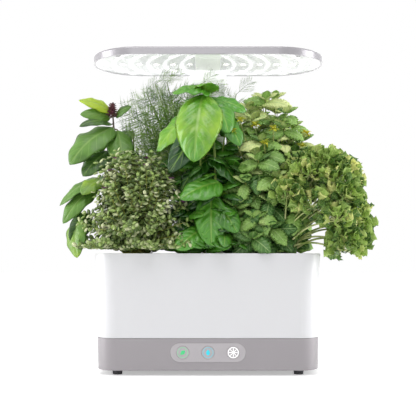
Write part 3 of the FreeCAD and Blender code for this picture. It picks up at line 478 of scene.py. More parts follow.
def aim(base, tip, up):
    """The matrix that lays a leaf's Y from its base to its tip, with its upper side towards up."""
    along = (tip - base).normalized()
    across = along.cross(up)
    if across.length < 1e-6:
        across = along.cross(Vector((0.3, 0.5, 0.8)))
    across.normalize()
    normal = across.cross(along)
    matrix = Matrix((across, along, normal)).transposed().to_4x4()
    matrix.translation = base
    return matrix


def stem_curves(name, paths, material, sides):
    """Tapering stems along smooth paths, each given by its points and radii, as one mesh piece."""
    curve = bpy.data.curves.new(name, "CURVE")
    curve.dimensions = "3D"
    curve.bevel_depth = 1.0
    curve.bevel_resolution = sides
    curve.use_fill_caps = True
    curve.resolution_u = STEM_STEPS
    for points, radii in paths:
        spline = curve.splines.new("NURBS")
        spline.points.add(len(points) - 1)
        for slot, point, radius in zip(spline.points, points, radii):
            slot.co = (*point, 1.0)
            slot.radius = radius
        spline.order_u = min(3, len(points))
        spline.use_endpoint_u = True
    piece = made_real(name, new_object(name, curve), material)
    piece.data.polygons.foreach_set("use_smooth", [True] * len(piece.data.polygons))
    return piece


def build_scatter_tree():
    """Geometry nodes that set a leaf on each point, turned and sized by the point's own values."""
    tree = bpy.data.node_groups.new("Scatter leaves", "GeometryNodeTree")
    for title, kind in (("Points", "Geometry"), ("Leaf", "Object"), ("Finish", "Material")):
        tree.interface.new_socket(title, in_out="INPUT", socket_type="NodeSocket" + kind)
    tree.interface.new_socket("Geometry", in_out="OUTPUT", socket_type="NodeSocketGeometry")
    kinds = ["ObjectInfo", "InstanceOnPoints", "RealizeInstances", "SetMaterial"]
    kinds += ["InputNamedAttribute"] * 2
    leaf, place, real, finish, turn, size = (tree.nodes.new("GeometryNode" + kind) for kind in kinds)
    given = tree.nodes.new("NodeGroupInput")
    result = tree.nodes.new("NodeGroupOutput")
    for node, title, kind in ((turn, "turn", "FLOAT_VECTOR"), (size, "size", "FLOAT")):
        node.data_type = kind
        node.inputs["Name"].default_value = title
    feed(tree, leaf, {"Object": given.outputs["Leaf"]})
    feed(tree, place, {
        "Points": given.outputs["Points"], "Instance": leaf.outputs["Geometry"],
        "Rotation": turn.outputs["Attribute"], "Scale": size.outputs["Attribute"],
    })
    feed(tree, real, {"Geometry": place.outputs["Instances"]})
    feed(tree, finish, {"Geometry": real.outputs["Geometry"], "Material": given.outputs["Finish"]})
    feed(tree, result, {"Geometry": finish.outputs["Geometry"]})
    return tree


SCATTER = build_scatter_tree()


def scatter(name, template, places, material):
    """Sets a template on many places, each a matrix, a size and a shade, as one plain mesh piece.

    The template itself is taken out of the scene.
    """
    mesh = bpy.data.meshes.new(name + "_points")
    mesh.from_pydata([tuple(matrix.translation) for matrix, _, _ in places], [], [])
    for title, kind, key, values in (
        ("turn", "FLOAT_VECTOR", "vector", [tuple(matrix.to_euler()) for matrix, _, _ in places]),
        ("size", "FLOAT", "value", [scale for _, scale, _ in places]),
        ("shade", "FLOAT", "value", [tone for _, _, tone in places]),
    ):
        layer = mesh.attributes.new(title, kind, "POINT")
        layer.data.foreach_set(key, np.array(values, dtype=np.float32).ravel())
    carrier = new_object(name + "_carrier", mesh)
    modifier = carrier.modifiers.new("Scatter", "NODES")
    modifier.node_group = SCATTER
    given = {"Leaf": template, "Finish": material}
    for item in SCATTER.interface.items_tree:
        if item.in_out == "INPUT" and item.name in given:
            modifier[item.identifier] = given[item.name]
    piece = made_real(name, carrier, material)
    bpy.data.objects.remove(template)
    return piece


def scatter_leaves(name, material, thickness, places, **shape):
    """Sets one closed leaf of unit length on many places."""
    vertices, faces, maps = close_leaf(*leaf_form(length=1.0, **shape), thickness)
    return scatter(name, mesh_piece(name + "_form", vertices, faces, material, maps), places, material)


def join(name, things):
    """Joins finished meshes into one piece that keeps their materials."""
    with bpy.context.temp_override(active_object=things[0], selected_editable_objects=things):
        bpy.ops.object.join()
    things[0].name = name
    things[0].data.name = name
    return things[0]


# The herbs


# The height at which leaves get no painted lightening from lift
MID_CROWN = 0.24
LOWEST_LEAF = 0.150
LEAF_THICKNESS = 0.35 * MM
CROWN_LIMIT = 359
GOLDEN_TURN = 137.5
BRACTS = 46
PARSLEY_HEADS = 13
PARSLEY_LEAFLETS = 50
PARSLEY_REACH = 0.018
FROND_RIBS = 8

# Each herb's crown, in millimetres: its middle x and y, half width, half depth, edge height and top
THYME_CROWN = (-84, -50, 67, 47, 150, 258)
MINT_CROWN = (74, -4, 54, 46, 226, 334)
MINT_FRONT_CROWN = (62, -46, 42, 26, 178, 262)
PARSLEY_CROWN = (134, -44, 44, 34, 214, 252)
DILL_CROWN = (-58, 12, 44, 22, 232, 334)

# Each small leaf's form, as shares of its length
THYME_LEAF = dict(width=0.7, arch=0.06, cup=-0.3, early=0.6, late=0.6, columns=2, rows=4)
THYME_PETAL = dict(width=0.7, arch=0.2, cup=0.5, columns=2, rows=4)
MINT_LEAF = dict(
    width=0.7, arch=0.12, cup=-0.16, early=0.5, late=0.75, teeth=7, tooth=0.2, puff=0.2, pairs=7,
    columns=4, rows=14,
)
MINT_PETAL = dict(width=0.5, arch=0.2, cup=0.3, columns=2, rows=4)
PARSLEY_LEAF = dict(
    width=1.3, arch=0.12, cup=0.5, early=0.8, late=0.35, teeth=3, tooth=0.4, wave=0.55, columns=6, rows=6,
)
THAI_BRACT = dict(width=0.62, arch=0.15, cup=0.5, columns=4, rows=5)

# Places in millimetres
PARSLEY_LOW_HEADS = (
    (166, -50, 172), (172, -40, 192), (160, -68, 158), (150, -82, 180), (120, -80, 196), (158, -72, 206),
    (168, -20, 208), (92, -70, 208), (160, -62, 146), (174, -50, 156), (178, -38, 176),
)
MINT_LOW_SHOOTS = (
    (38, -58, 176), (52, -66, 160), (64, -58, 184), (30, -40, 190), (74, -66, 172), (48, -36, 214),
    (88, -30, 220),
)
MINT_FLOWERS = (
    (38, -50, 300), (56, -40, 296), (78, -44, 290), (66, -58, 272), (114, -30, 272), (120, -12, 290),
    (28, -60, 286),
)
DILL_HIGH_TIPS = (
    (-10, 20, 357), (4, 24, 352), (36, 22, 346), (-52, 10, 359), (-66, 6, 356), (-78, 4, 346),
    (-60, 14, 350),
)

# Each broad leaf, in millimetres: its base, tip, width, arch, the way that its upper side faces, its shade
GENOVESE_LEAVES = (
    ((-6, -48, 332), (-16, -88, 246), 56, 0.12, (-0.1, -1, 0.35), 0.78),
    ((2, -38, 336), (-42, -60, 330), 36, 0.14, (-0.2, -0.7, 0.9), 0.62),
    ((-4, -40, 336), (-2, -66, 341), 32, 0.12, (0.1, -0.5, 1), 0.74),
    ((2, -44, 330), (24, -70, 282), 40, 0.12, (0.5, -0.9, 0.3), 0.40),
    ((-8, -36, 312), (-60, -56, 262), 44, 0.14, (-0.7, -0.8, 0.5), 0.72),
    ((-6, -44, 306), (-46, -70, 236), 34, 0.1, (0.3, -1, 0.1), 0.04),
    ((4, -40, 326), (46, -44, 312), 30, 0.12, (0.3, -0.8, 0.7), 0.60),
    ((8, -44, 316), (38, -62, 268), 30, 0.1, (0.6, -0.8, 0.1), 0.30),
    ((14, -60, 226), (-32, -86, 204), 44, 0.1, (-0.2, -0.9, 0.7), 0.44),
    ((4, -56, 212), (4, -82, 150), 40, 0.06, (-0.1, -1, 0.1), 0.42),
    ((-4, -58, 172), (-36, -84, 146), 34, 0.1, (-0.2, -0.9, 0.6), 0.56),
    ((10, -60, 200), (34, -78, 166), 30, 0.08, (0.4, -1, 0.3), 0.32),
    ((2, -30, 300), (-30, -22, 280), 30, 0.12, (-0.3, 0.2, 1), 0.5),
    ((4, -28, 306), (30, -22, 280), 30, 0.12, (0.3, 0.2, 1), 0.5),
    ((0, -40, 256), (-32, -50, 216), 34, 0.1, (-0.3, -0.5, 0.8), 0.15),
    ((2, -40, 262), (34, -52, 224), 34, 0.1, (0.3, -0.5, 0.8), 0.18),
    ((0, -30, 240), (4, -22, 200), 30, 0.1, (0.1, 0.8, 0.4), 0.3),
    ((0, -40, 200), (-28, -46, 168), 28, 0.1, (-0.4, -0.6, 0.6), 0.1),
)
GENOVESE_INNER_SHOOTS = (
    (-22, -34, 300), (22, -34, 296), (0, -26, 322), (-30, -40, 250), (30, -40, 246), (-14, -24, 262),
    (16, -26, 258), (-26, -52, 196), (28, -54, 192), (-12, -30, 214), (14, -30, 210), (-8, -62, 168),
    (18, -66, 166), (34, -44, 166), (-30, -44, 164),
)
GENOVESE_TRUNKS = (
    ((-2, -38, 200), (-6, -36, 270), (-4, -42, 326), (-2, -40, 340)),
    ((6, -44, 180), (10, -50, 220), (6, -46, 300), (4, -40, 322)),
    ((-8, -50, 160), (-10, -52, 210), (-8, -46, 300)),
)
THAI_LEAVES = (
    ((-120, 0, 320), (-160, -12, 332), 20, 0.12, (-0.1, -0.9, 0.7), 1.0),
    ((-122, 0, 312), (-158, -14, 314), 18, 0.14, (-0.2, -1, 0.4), 0.62),
    ((-120, -2, 304), (-158, -20, 298), 17, 0.16, (-0.4, -0.8, 0.7), 0.16),
    ((-116, -2, 314), (-94, -14, 324), 16, 0.12, (0.2, -0.9, 0.6), 0.30),
    ((-118, -4, 300), (-168, -30, 250), 46, 0.12, (-0.5, -0.9, 0.4), 0.40),
    ((-112, -6, 296), (-104, -30, 246), 34, 0.08, (0.3, -1, 0.1), 0.52),
    ((-124, -8, 270), (-152, -30, 236), 30, 0.1, (-0.2, -1, 0.3), 0.24),
    ((-128, -22, 234), (-150, -50, 212), 26, 0.12, (-0.2, -0.9, 0.6), 0.70),
    ((-128, -10, 236), (-180, -32, 200), 34, 0.14, (-0.7, -0.7, 0.4), 0.50),
    ((-136, -20, 226), (-174, -42, 178), 28, 0.1, (-0.6, -0.9, 0.1), 0.46),
    ((-158, -40, 184), (-154, -60, 137), 30, 0.08, (-0.4, -1, 0.1), 0.72),
    ((-144, -28, 190), (-164, -52, 158), 26, 0.08, (0.2, -0.9, -0.1), 0.12),
    ((-112, -18, 268), (-84, -40, 254), 28, 0.12, (0.1, -0.7, 0.9), 0.74),
    ((-96, 30, 300), (-130, 48, 280), 28, 0.12, (-0.3, 0.5, 0.9), 0.4),
    ((-100, 34, 270), (-150, 50, 250), 32, 0.12, (-0.3, 0.6, 0.8), 0.4),
    ((-96, 32, 240), (-140, 60, 220), 32, 0.12, (-0.3, 0.7, 0.6), 0.35),
    ((-92, 32, 220), (-70, 60, 200), 30, 0.12, (0.3, 0.8, 0.6), 0.35),
    ((-98, 20, 200), (-140, 20, 180), 28, 0.12, (-0.5, 0.2, 0.9), 0.3),
    ((-90, 28, 190), (-96, 62, 172), 28, 0.12, (-0.1, 0.9, 0.5), 0.3),
    ((-110, 10, 240), (-150, 6, 232), 28, 0.12, (-0.5, -0.2, 0.9), 0.3),
)
THAI_TRUNKS = (
    ((-100, 14, 200), (-114, 4, 260), (-118, -2, 300), (-119, -4, 322)),
    ((-104, 6, 176), (-122, -8, 210), (-128, -16, 236), (-126, -10, 262)),
    ((-104, 8, 172), (-126, 4, 186), (-146, -9, 194), (-160, -40, 186)),
    ((-92, 20, 190), (-96, 30, 250), (-96, 30, 300)),
    ((-96, 4, 180), (-106, -10, 240), (-110, -18, 270)),
)


def pod_place(name):
    """The middle of a sponge's top, where a herb comes out."""
    low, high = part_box("sponge_" + name)
    return Vector(((low.x + high.x) / 2, (low.y + high.y) / 2, high.z))


def settle(piece, node):
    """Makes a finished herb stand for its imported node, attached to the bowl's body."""
    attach(piece, "bowl")
    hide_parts(node)
    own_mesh(piece)


def mm(x, y, z):
    """A place given in millimetres."""
    return Vector((x, y, z)) * MM


def crown_place(index, count, crown, power):
    """Place number index of count, spread evenly over a dome.

    The place is never higher than CROWN_LIMIT, under the lamp.
    """
    middle_x, middle_y, half_width, half_depth, edge, top = crown
    reach = math.sqrt((index + 0.5) / count)
    turn = math.radians(GOLDEN_TURN * index)
    x = middle_x + half_width * reach * math.cos(turn)
    y = middle_y + half_depth * reach * math.sin(turn)
    return mm(x, y, min(top - (top - edge) * reach ** power, CROWN_LIMIT))


def crown_tips(chance, count, crown, power=2.2, loose=3.0):
    """Tips over the whole dome, each a little off its even place."""
    shake = [mm(*(chance.uniform(-loose, loose) for _ in range(3))) for _ in range(count)]
    return [crown_place(index, count, crown, power) + shake[index] for index in range(count)]


def shoot(root, tip, bow, count=5, thick=0.0012, thin=0.0005):
    """A stem from root to tip that leaves upwards and bows outwards. Returns its points and radii."""
    points = []
    radii = []
    rise = Vector((0, 0, (tip - root).length * bow))
    for step in range(count):
        share = step / (count - 1)
        points.append(root.lerp(tip, share) + rise * math.sin(math.pi * share) * (1 - 0.4 * share))
        radii.append(thick + (thin - thick) * share)
    return points, radii


def start_near(chance, root, reach):
    """A stem's own place on the sponge."""
    return root + mm(chance.uniform(-reach, reach), chance.uniform(-reach, reach), 0)


def whorl(place, count, step, length, upper=(0, 0, 1)):
    """Small leaves or petals that leave one place all round, a step in radians apart."""
    ways = [Vector((math.cos(turn * step), math.sin(turn * step), 0.5)).normalized() for turn in range(count)]
    return [(place, way, Vector(upper), length) for way in ways]


def along_path(points, share):
    """A place on a stem and the way that it runs there."""
    place = share * (len(points) - 1)
    index = min(int(place), len(points) - 2)
    here = points[index].lerp(points[index + 1], place - index)
    return here, (points[index + 1] - points[index]).normalized()


def pairs_on(chance, path, first, last, steps, length, rise, droop, turn, front):
    """Opposite pairs of leaves up a stem, each pair a quarter turn from the last."""
    places = []
    for step in range(steps):
        share = first + (last - first) * step / max(1, steps - 1)
        node, way = along_path(path, share)
        across = way.cross(Vector((0.2, 1.0, 0.1))).normalized()
        other = way.cross(across).normalized()
        swing = turn + (math.pi / 2) * (step % 2) + chance.uniform(-0.35, 0.35)
        for hand in (-1, 1):
            out = (across * math.cos(swing) + other * math.sin(swing)) * hand
            heading = (out + way * (rise + chance.uniform(-0.15, 0.2)) - Vector((0, 0, droop))).normalized()
            scale = length * (1.0 - 0.4 * step / steps) * chance.uniform(0.8, 1.15)
            if node.z + heading.z * scale < LOWEST_LEAF:
                heading = Vector((heading.x, heading.y, (LOWEST_LEAF - node.z) / scale)).normalized()
            upper = way * 0.5 + Vector((chance.uniform(-0.3, 0.3), -front, 0.5))
            places.append((node, heading, upper, scale))
    return places


def as_instances(chance, places, low=0.2, high=0.8, lift=0.0):
    """Leaf places as matrices for scatter, each with its own shade, which lifts towards the lamp: lift adds
    painted light, so higher leaves are lighter.
    """
    result = []
    for node, heading, upper, scale in places:
        # A random tone, plus painted light: lift paints leaves lighter the higher they stand
        shade = chance.uniform(low, high) + lift * (node.z - MID_CROWN)
        result.append((aim(node, node + heading, upper), scale, shade))
    return result


def threads(name, paths, material):
    """Fine three-sided stems that end in a point, each from its own points and radii."""
    vertices = []
    faces = []
    for points, radii in paths:
        first = len(vertices)
        for point, radius, after in zip(points[:-1], radii, points[1:]):
            way = (after - point).normalized()
            across = way.cross(Vector((0.31, 0.87, 0.38))).normalized()
            other = way.cross(across)
            for corner in range(3):
                turn = 2 * math.pi * corner / 3
                vertices.append(point + (across * math.cos(turn) + other * math.sin(turn)) * radius)
        vertices.append(points[-1])
        rings = len(points) - 1
        faces.append((first + 2, first + 1, first))
        for ring in range(rings - 1):
            low = first + 3 * ring
            for corner in range(3):
                after = (corner + 1) % 3
                faces.append((low + corner, low + after, low + 3 + after, low + 3 + corner))
        low = first + 3 * (rings - 1)
        for corner in range(3):
            faces.append((low + corner, low + (corner + 1) % 3, first + 3 * rings))
    return mesh_piece(name, vertices, faces, material)


def grow_thyme():
    """A dense mound of wiry stems set with tiny grey-green leaves."""
    chance = random.Random(11)
    root = pod_place("front_left")
    leaves = []
    stems = []
    flowers = []
    tips = crown_tips(chance, 172, THYME_CROWN, 3.2, 9.0)
    tips += [mm(-150 + 7.5 * step, chance.uniform(-92, -70), chance.uniform(146, 156)) for step in range(18)]
    for index, tip in enumerate(tips):
        path, radii = shoot(start_near(chance, root, 14), tip, 0.14, thick=0.0009, thin=0.00035)
        stems.append((path, radii))
        leaves += pairs_on(
            chance, path, first=0.34, last=1.0, steps=11, length=0.0104, rise=0.5, droop=0.1,
            turn=chance.uniform(0, 3), front=0.8,
        )
        if index % 14 == 3:
            flowers.append(tip)
    green = leaf_finish(
        "thyme leaf", ((72, 98, 40), (150, 178, 92), (224, 230, 182), (204, 214, 160)),
        pairs=4, sweep=1.2, width=0.2, relief=0.3, roughness=0.5, mottle=130.0,
    )
    places = as_instances(chance, leaves, -0.15, 1.15)
    body = scatter_leaves("thyme_leaves", green, 0.05, places, **THYME_LEAF)
    purple = stem_finish("thyme flower", (150, 96, 140), (84, 50, 72))
    petals = [petal for tip in flowers for petal in whorl(tip, 6, 1.25, 0.0055)]
    blooms = scatter_leaves("thyme_flowers", purple, 0.1, as_instances(chance, petals), **THYME_PETAL)
    twigs = threads("thyme_stems", stems, stem_finish("thyme stem", (140, 146, 50), (206, 208, 110)))
    settle(join("thyme_plant", [body, blooms, twigs]), "thyme")


def grow_mint():
    """Upright stems with opposite toothed leaves, filling the right of the crown."""
    chance = random.Random(5)
    root = pod_place("back_right")
    leaves = []
    stems = []
    tips = crown_tips(chance, 26, MINT_CROWN, 2.4, 5.0)
    tips += crown_tips(chance, 16, MINT_FRONT_CROWN, 2.2, 5.0)
    tips += [mm(*place) for place in MINT_LOW_SHOOTS]
    for tip in tips:
        path, radii = shoot(start_near(chance, root, 10), tip, 0.08, thick=0.0015, thin=0.0007)
        stems.append((path, radii))
        leaves += pairs_on(
            chance, path, first=0.34, last=0.97, steps=6, length=0.043, rise=0.2,
            droop=chance.uniform(0.1, 0.8), turn=chance.uniform(0, 3), front=1.1,
        )
        leaves += whorl(path[-1], 4, 1.6, 0.017, (0, -0.6, 1))
    green = leaf_finish(
        "mint leaf", ((74, 120, 52), (152, 194, 98), (230, 242, 164), (190, 220, 146)),
        pairs=7, sweep=1.6, width=0.22, relief=0.6, roughness=0.42, mottle=50.0,
    )
    # lift 5.5 paints the mint's upper leaves much lighter, as painted light from above
    places = as_instances(chance, leaves, -0.1, 1.0, 5.5)
    body = scatter_leaves("mint_leaves", green, 0.016, places, **MINT_LEAF)
    stalks = stem_curves("mint_stems", stems, stem_finish("mint stem", (112, 136, 60), (182, 186, 104)), 0)
    bloom = stem_finish("mint flower", (222, 208, 40), (170, 186, 50))
    petals = []
    for place in MINT_FLOWERS:
        for turn in range(14):
            way = Vector((math.cos(turn * 2.4), math.sin(turn * 2.4), chance.uniform(-0.6, 1.2)))
            petals.append((mm(*place), way.normalized(), Vector((0, 0, 1)), chance.uniform(0.005, 0.009)))
    blooms = scatter_leaves("mint_flowers", bloom, 0.1, as_instances(chance, petals), **MINT_PETAL)
    sprigs = [shoot(root, mm(*place), 0.08, thin=0.0006) for place in MINT_FLOWERS]
    sprigs = stem_curves("mint_sprigs", sprigs, stalks.data.materials[0], 0)
    settle(join("mint_plant", [body, stalks, blooms, sprigs]), "mint")


def grow_parsley():
    """Fanned stalks that carry heads of tightly curled leaflets."""
    chance = random.Random(23)
    root = pod_place("front_right")
    heads = [crown_place(index, PARSLEY_HEADS, PARSLEY_CROWN, 2.6) for index in range(PARSLEY_HEADS)]
    heads += [mm(*place) for place in PARSLEY_LOW_HEADS]
    leaves = []
    stems = []
    for head in heads:
        path, radii = shoot(start_near(chance, root, 10), head, 0.2, thick=0.0015, thin=0.0008)
        stems.append((path, radii))
        side = chance.uniform(0, 6)
        for index in range(PARSLEY_LEAFLETS):
            level = 1 - 1.5 * (index + 0.5) / PARSLEY_LEAFLETS
            turn = side + index * math.radians(GOLDEN_TURN)
            ring = math.sqrt(max(0.0, 1 - level ** 2))
            out = Vector((ring * math.cos(turn), ring * math.sin(turn), level))
            reach = PARSLEY_REACH * chance.uniform(0.62, 1.0)
            spot = head + Vector((out.x, out.y, out.z * 0.8)) * reach
            heading = (out + Vector((0, 0, 0.2))).normalized()
            upper = Vector((chance.uniform(-1, 1), chance.uniform(-1, 1), 0.3))
            leaves.append((spot, heading, upper, chance.uniform(0.0075, 0.0115)))
            if index % 4 == 0:
                stems.append(([head, head.lerp(spot, 0.6), spot], (0.0006, 0.0005, 0.0004)))
    green = leaf_finish(
        "parsley leaf", ((84, 124, 52), (168, 200, 98), (246, 246, 160), (208, 226, 140)),
        pairs=3, sweep=1.2, width=0.3, relief=0.3, roughness=0.48, mottle=60.0,
    )
    # lift 1.5 paints the parsley's upper leaflets lighter, as painted light from above
    places = as_instances(chance, leaves, -0.15, 1.0, 1.5)
    body = scatter_leaves("parsley_leaves", green, 0.04, places, **PARSLEY_LEAF)
    pale = stem_finish("parsley stem", (156, 180, 88), (226, 230, 164))
    stalks = stem_curves("parsley_stems", stems, pale, 0)
    settle(join("parsley_plant", [body, stalks]), "curly_parsley")


def dill_frond():
    """One feathery frond of unit length as thread paths: a spine, side ribs and fine threads."""
    chance = random.Random(3)
    spine = [Vector((0, 0, 0)), Vector((0, 0.5, 0.07)), Vector((0, 1.0, 0.0))]
    paths = [(spine, (0.012, 0.009, 0.004))]
    for index in range(FROND_RIBS):
        share = 0.2 + 0.76 * index / FROND_RIBS
        base, _ = along_path(spine, share)
        reach = 0.46 * (1 - share) + 0.14
        for hand in (-1, 1):
            end = base + Vector((hand * reach * 0.8, reach * 0.75, chance.uniform(-0.2, 0.2)))
            middle = base.lerp(end, 0.5) + Vector((0, -0.02, 0.03))
            paths.append(([base, middle, end], (0.008, 0.006, 0.004)))
            for step in range(4):
                spot, _ = along_path([base, middle, end], 0.3 + 0.2 * step)
                for side in (-1, 1):
                    lift = side * 0.08 + chance.uniform(-0.08, 0.08)
                    fine = Vector((hand * 0.07 + side * 0.06, 0.11, lift))
                    paths.append(([spot, spot + fine * chance.uniform(0.8, 1.5)], (0.0055, 0.003)))
    return paths


def grow_dill():
    """Tall thread-leaved stems behind the basil, leaning to the left."""
    chance = random.Random(17)
    root = pod_place("back_centre")
    finish = stem_finish("dill thread", (72, 124, 30), (154, 190, 90))
    template = threads("dill_frond", dill_frond(), finish)
    stems = []
    fronds = []
    tips = crown_tips(chance, 19, DILL_CROWN, 2.2, 6.0)
    tips += [mm(*place) for place in DILL_HIGH_TIPS]
    for tip in tips:
        path, radii = shoot(root, tip, 0.05, thick=0.0014, thin=0.0005)
        stems.append((path, radii))
        for step in range(6):
            node, way = along_path(path, 0.46 + 0.54 * step / 5)
            turn = step * 2.4 + chance.uniform(0, 1)
            out = Vector((math.cos(turn), 0.5 * math.sin(turn), 0.0))
            heading = (out * 0.85 + way * chance.uniform(0.3, 0.9)).normalized()
            scale = chance.uniform(0.036, 0.054) * (0.6 if node.z > 0.325 else 1.0)
            fronds.append((node, heading, Vector((0.2, -1, 0.4)), scale))
    body = scatter("dill_fronds", template, as_instances(chance, fronds, 0.2, 0.9), finish)
    stalks = stem_curves("dill_stems", stems, stem_finish("dill stem", (90, 122, 48), (152, 176, 90)), 0)
    settle(join("dill_plant", [body, stalks]), "dill")


def broad_leaves(name, table, material, chance, rows, columns, **shape):
    """One mesh of a table's broad leaves, and where each of them starts and ends."""
    vertices, faces, maps, shades, ends = [], [], [], [], []
    count = 0
    for base, tip, width, arch, front, shade in table:
        base, tip = mm(*base), mm(*tip)
        form = leaf_form(
            (tip - base).length, width * MM, arch, twist=chance.uniform(-0.3, 0.3),
            wave=chance.uniform(0.05, 0.16), phase=chance.uniform(0, 6), columns=columns, rows=rows, **shape,
        )
        skin, skin_faces, leaf_map = close_leaf(*form, LEAF_THICKNESS)
        matrix = aim(base, tip, Vector(front))
        vertices.append(skin @ np.array(matrix.to_3x3()).T + np.array(matrix.translation))
        faces += [[index + count for index in corners] for corners in skin_faces]
        maps.append(leaf_map)
        shades.append(np.full(len(skin), shade))
        ends.append((base, tip))
        count += len(skin)
    vertices, maps, shades = (np.concatenate(parts) for parts in (vertices, maps, shades))
    return mesh_piece(name, vertices, faces, material, maps, shades), ends


def carry(root, ends, trunks, thick=0.0022):
    """Stems from the pod up each trunk, and a leaf stalk from the nearest place on them to each leaf."""
    paths = []
    for trunk in trunks:
        points = [root, *[mm(*place) for place in trunk]]
        taper = [step / (len(points) - 1) for step in range(len(points))]
        paths.append((points, [thick + (0.0009 - thick) * share for share in taper]))
    nodes = []
    for points, _ in paths:
        nodes += [along_path(points, step / 30)[0] for step in range(4, 31)]
    for base, tip in ends:
        lower = [node for node in nodes if node.z < base.z + 0.004] or nodes
        near = min(lower, key=lambda node: (node - base).length)
        middle = near.lerp(base, 0.5) + Vector((0, 0, 0.15 * (near - base).length))
        paths.append(([near, middle, base, base.lerp(tip, 0.06)], (0.0011, 0.0009, 0.0008, 0.0005)))
    return paths


def grow_genovese():
    """The broad glossy basil in the middle, with its drooping front leaf."""
    chance = random.Random(7)
    green = leaf_finish(
        "genovese leaf", ((22, 70, 16), (88, 158, 44), (178, 214, 64), (158, 200, 92)),
        pairs=6, sweep=1.5, width=0.14, relief=0.4, roughness=0.30, coat=0.3, mottle=26.0,
    )
    shape = dict(cup=-0.22, puff=0.16, pairs=6, early=0.5, late=0.68)
    body, ends = broad_leaves("genovese_leaves", GENOVESE_LEAVES, green, chance, 28, 18, **shape)
    root = pod_place("front_centre")
    paths = carry(root, ends, GENOVESE_TRUNKS)
    inner = []
    for place in GENOVESE_INNER_SHOOTS:
        path, radii = shoot(root, mm(*place), 0.04, thick=0.0016, thin=0.0008)
        paths.append((path, radii))
        inner += pairs_on(
            chance, path, first=0.3, last=1.0, steps=5, length=0.040, rise=0.3, droop=0.3,
            turn=chance.uniform(0, 3), front=0.9,
        )
    shape |= dict(width=0.66, arch=0.12, columns=8, rows=12)
    # lift 1.0 paints the inner basil's upper leaves lighter, as painted light from above
    places = as_instances(chance, inner, 0.1, 0.75, 1.0)
    filling = scatter_leaves("genovese_inner", green, 0.012, places, **shape)
    fresh = stem_finish("genovese stem", (84, 116, 44), (150, 174, 78))
    stalks = stem_curves("genovese_stems", paths, fresh, 2)
    settle(join("genovese_plant", [body, filling, stalks]), "genovese_basil")


def grow_thai():
    """The pointed-leaved basil at the left, with a dark flower bud and leaves that hang past the rim."""
    chance = random.Random(9)
    green = leaf_finish(
        "thai leaf", ((40, 72, 28), (96, 140, 54), (178, 206, 48), (140, 172, 92)),
        pairs=6, sweep=1.7, width=0.14, relief=0.3, roughness=0.4, coat=0.1, mottle=34.0,
    )
    shape = dict(cup=-0.2, puff=0.08, pairs=6, early=0.5, late=0.7)
    body, ends = broad_leaves("thai_leaves", THAI_LEAVES, green, chance, 24, 12, **shape)
    purple = stem_finish("thai stem", (72, 48, 52), (108, 96, 60), 0.45)
    stalks = stem_curves("thai_stems", carry(pod_place("back_left"), ends, THAI_TRUNKS, 0.0019), purple, 2)
    bud = stem_finish("thai bud", (66, 30, 40), (122, 66, 74), 0.6)
    bracts = []
    for index in range(BRACTS):
        level = index / BRACTS
        turn = index * math.radians(GOLDEN_TURN)
        spot = mm(-119 + 2 * math.cos(turn), -5 + 2 * math.sin(turn), 312 + 16 * level)
        way = Vector((math.cos(turn), math.sin(turn), 0.2 + level)).normalized()
        bracts.append((spot, way, Vector((0, 0, 1)), 0.0075 * (1 - 0.5 * level)))
    head = scatter_leaves("thai_bud", bud, 0.12, as_instances(chance, bracts), **THAI_BRACT)
    settle(join("thai_plant", [body, stalks, head]), "thai_basil")


# The lit signs on the three keys


SIGN_DEPTH = 0.14 * MM
LEAF_LEAN = 0.7


def flat_sign(name, loops, place, finish, key):
    """A thin raised sign on a key, from outlines of millimetre points around the key's middle."""
    form = bmesh.new()
    front = place.y - SIGN_DEPTH
    for outline in loops:
        low = [form.verts.new((place.x + x * MM, place.y + 0.05 * MM, place.z + z * MM)) for x, z in outline]
        high = [form.verts.new((place.x + x * MM, front, place.z + z * MM)) for x, z in outline]
        count = len(outline)
        form.faces.new(high)
        form.faces.new(low[::-1])
        for index in range(count):
            after = (index + 1) % count
            form.faces.new((low[index], low[after], high[after], high[index]))
    bmesh.ops.recalc_face_normals(form, faces=form.faces)
    mesh = bpy.data.meshes.new(name)
    form.to_mesh(mesh)
    form.free()
    mesh.materials.append(finish)
    sign = new_object(name, mesh)
    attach(sign, key)


def ring_outlines(inner, outer, steps=40):
    """A ring as a run of narrow four-cornered outlines."""
    outlines = []
    for step in range(steps):
        first, last = (2 * math.pi * (step + part) / steps for part in (0, 1))
        corners = ((inner, first), (outer, first), (outer, last), (inner, last))
        outlines.append([(radius * math.cos(turn), radius * math.sin(turn)) for radius, turn in corners])
    return outlines


def turned(points, angle):
    """A flat outline turned about the middle."""
    cosine, sine = math.cos(angle), math.sin(angle)
    return [(x * cosine - z * sine, x * sine + z * cosine) for x, z in points]


def spoke_outline(turn, inner, outer, half):
    """A bar that points away from the middle, from one radius to another."""
    return turned(((inner, -half), (outer, -half), (outer, half), (inner, half)), turn)


def lens_shape(length, width, lean, steps=10):
    """A leaf outline with two pointed ends, leaning by an angle."""
    shares = [step / steps for step in range(steps)]
    points = [(length * (share - 0.5), width / 2 * math.sin(math.pi * share)) for share in shares]
    return turned([*points, *[(-x, -z) for x, z in points]], lean)


def drop_shape(height, width, steps=20):
    """A water drop with its point upwards."""
    points = []
    for step in range(steps):
        turn = math.pi / 2 + 2 * math.pi * step / steps
        upper = max(0.0, math.sin(turn))
        narrow = 1 - 0.75 * upper ** 1.2
        z = height / 2 * math.sin(turn) + 0.1 * height * upper
        points.append((width / 2 * math.cos(turn) * narrow, z))
    return points


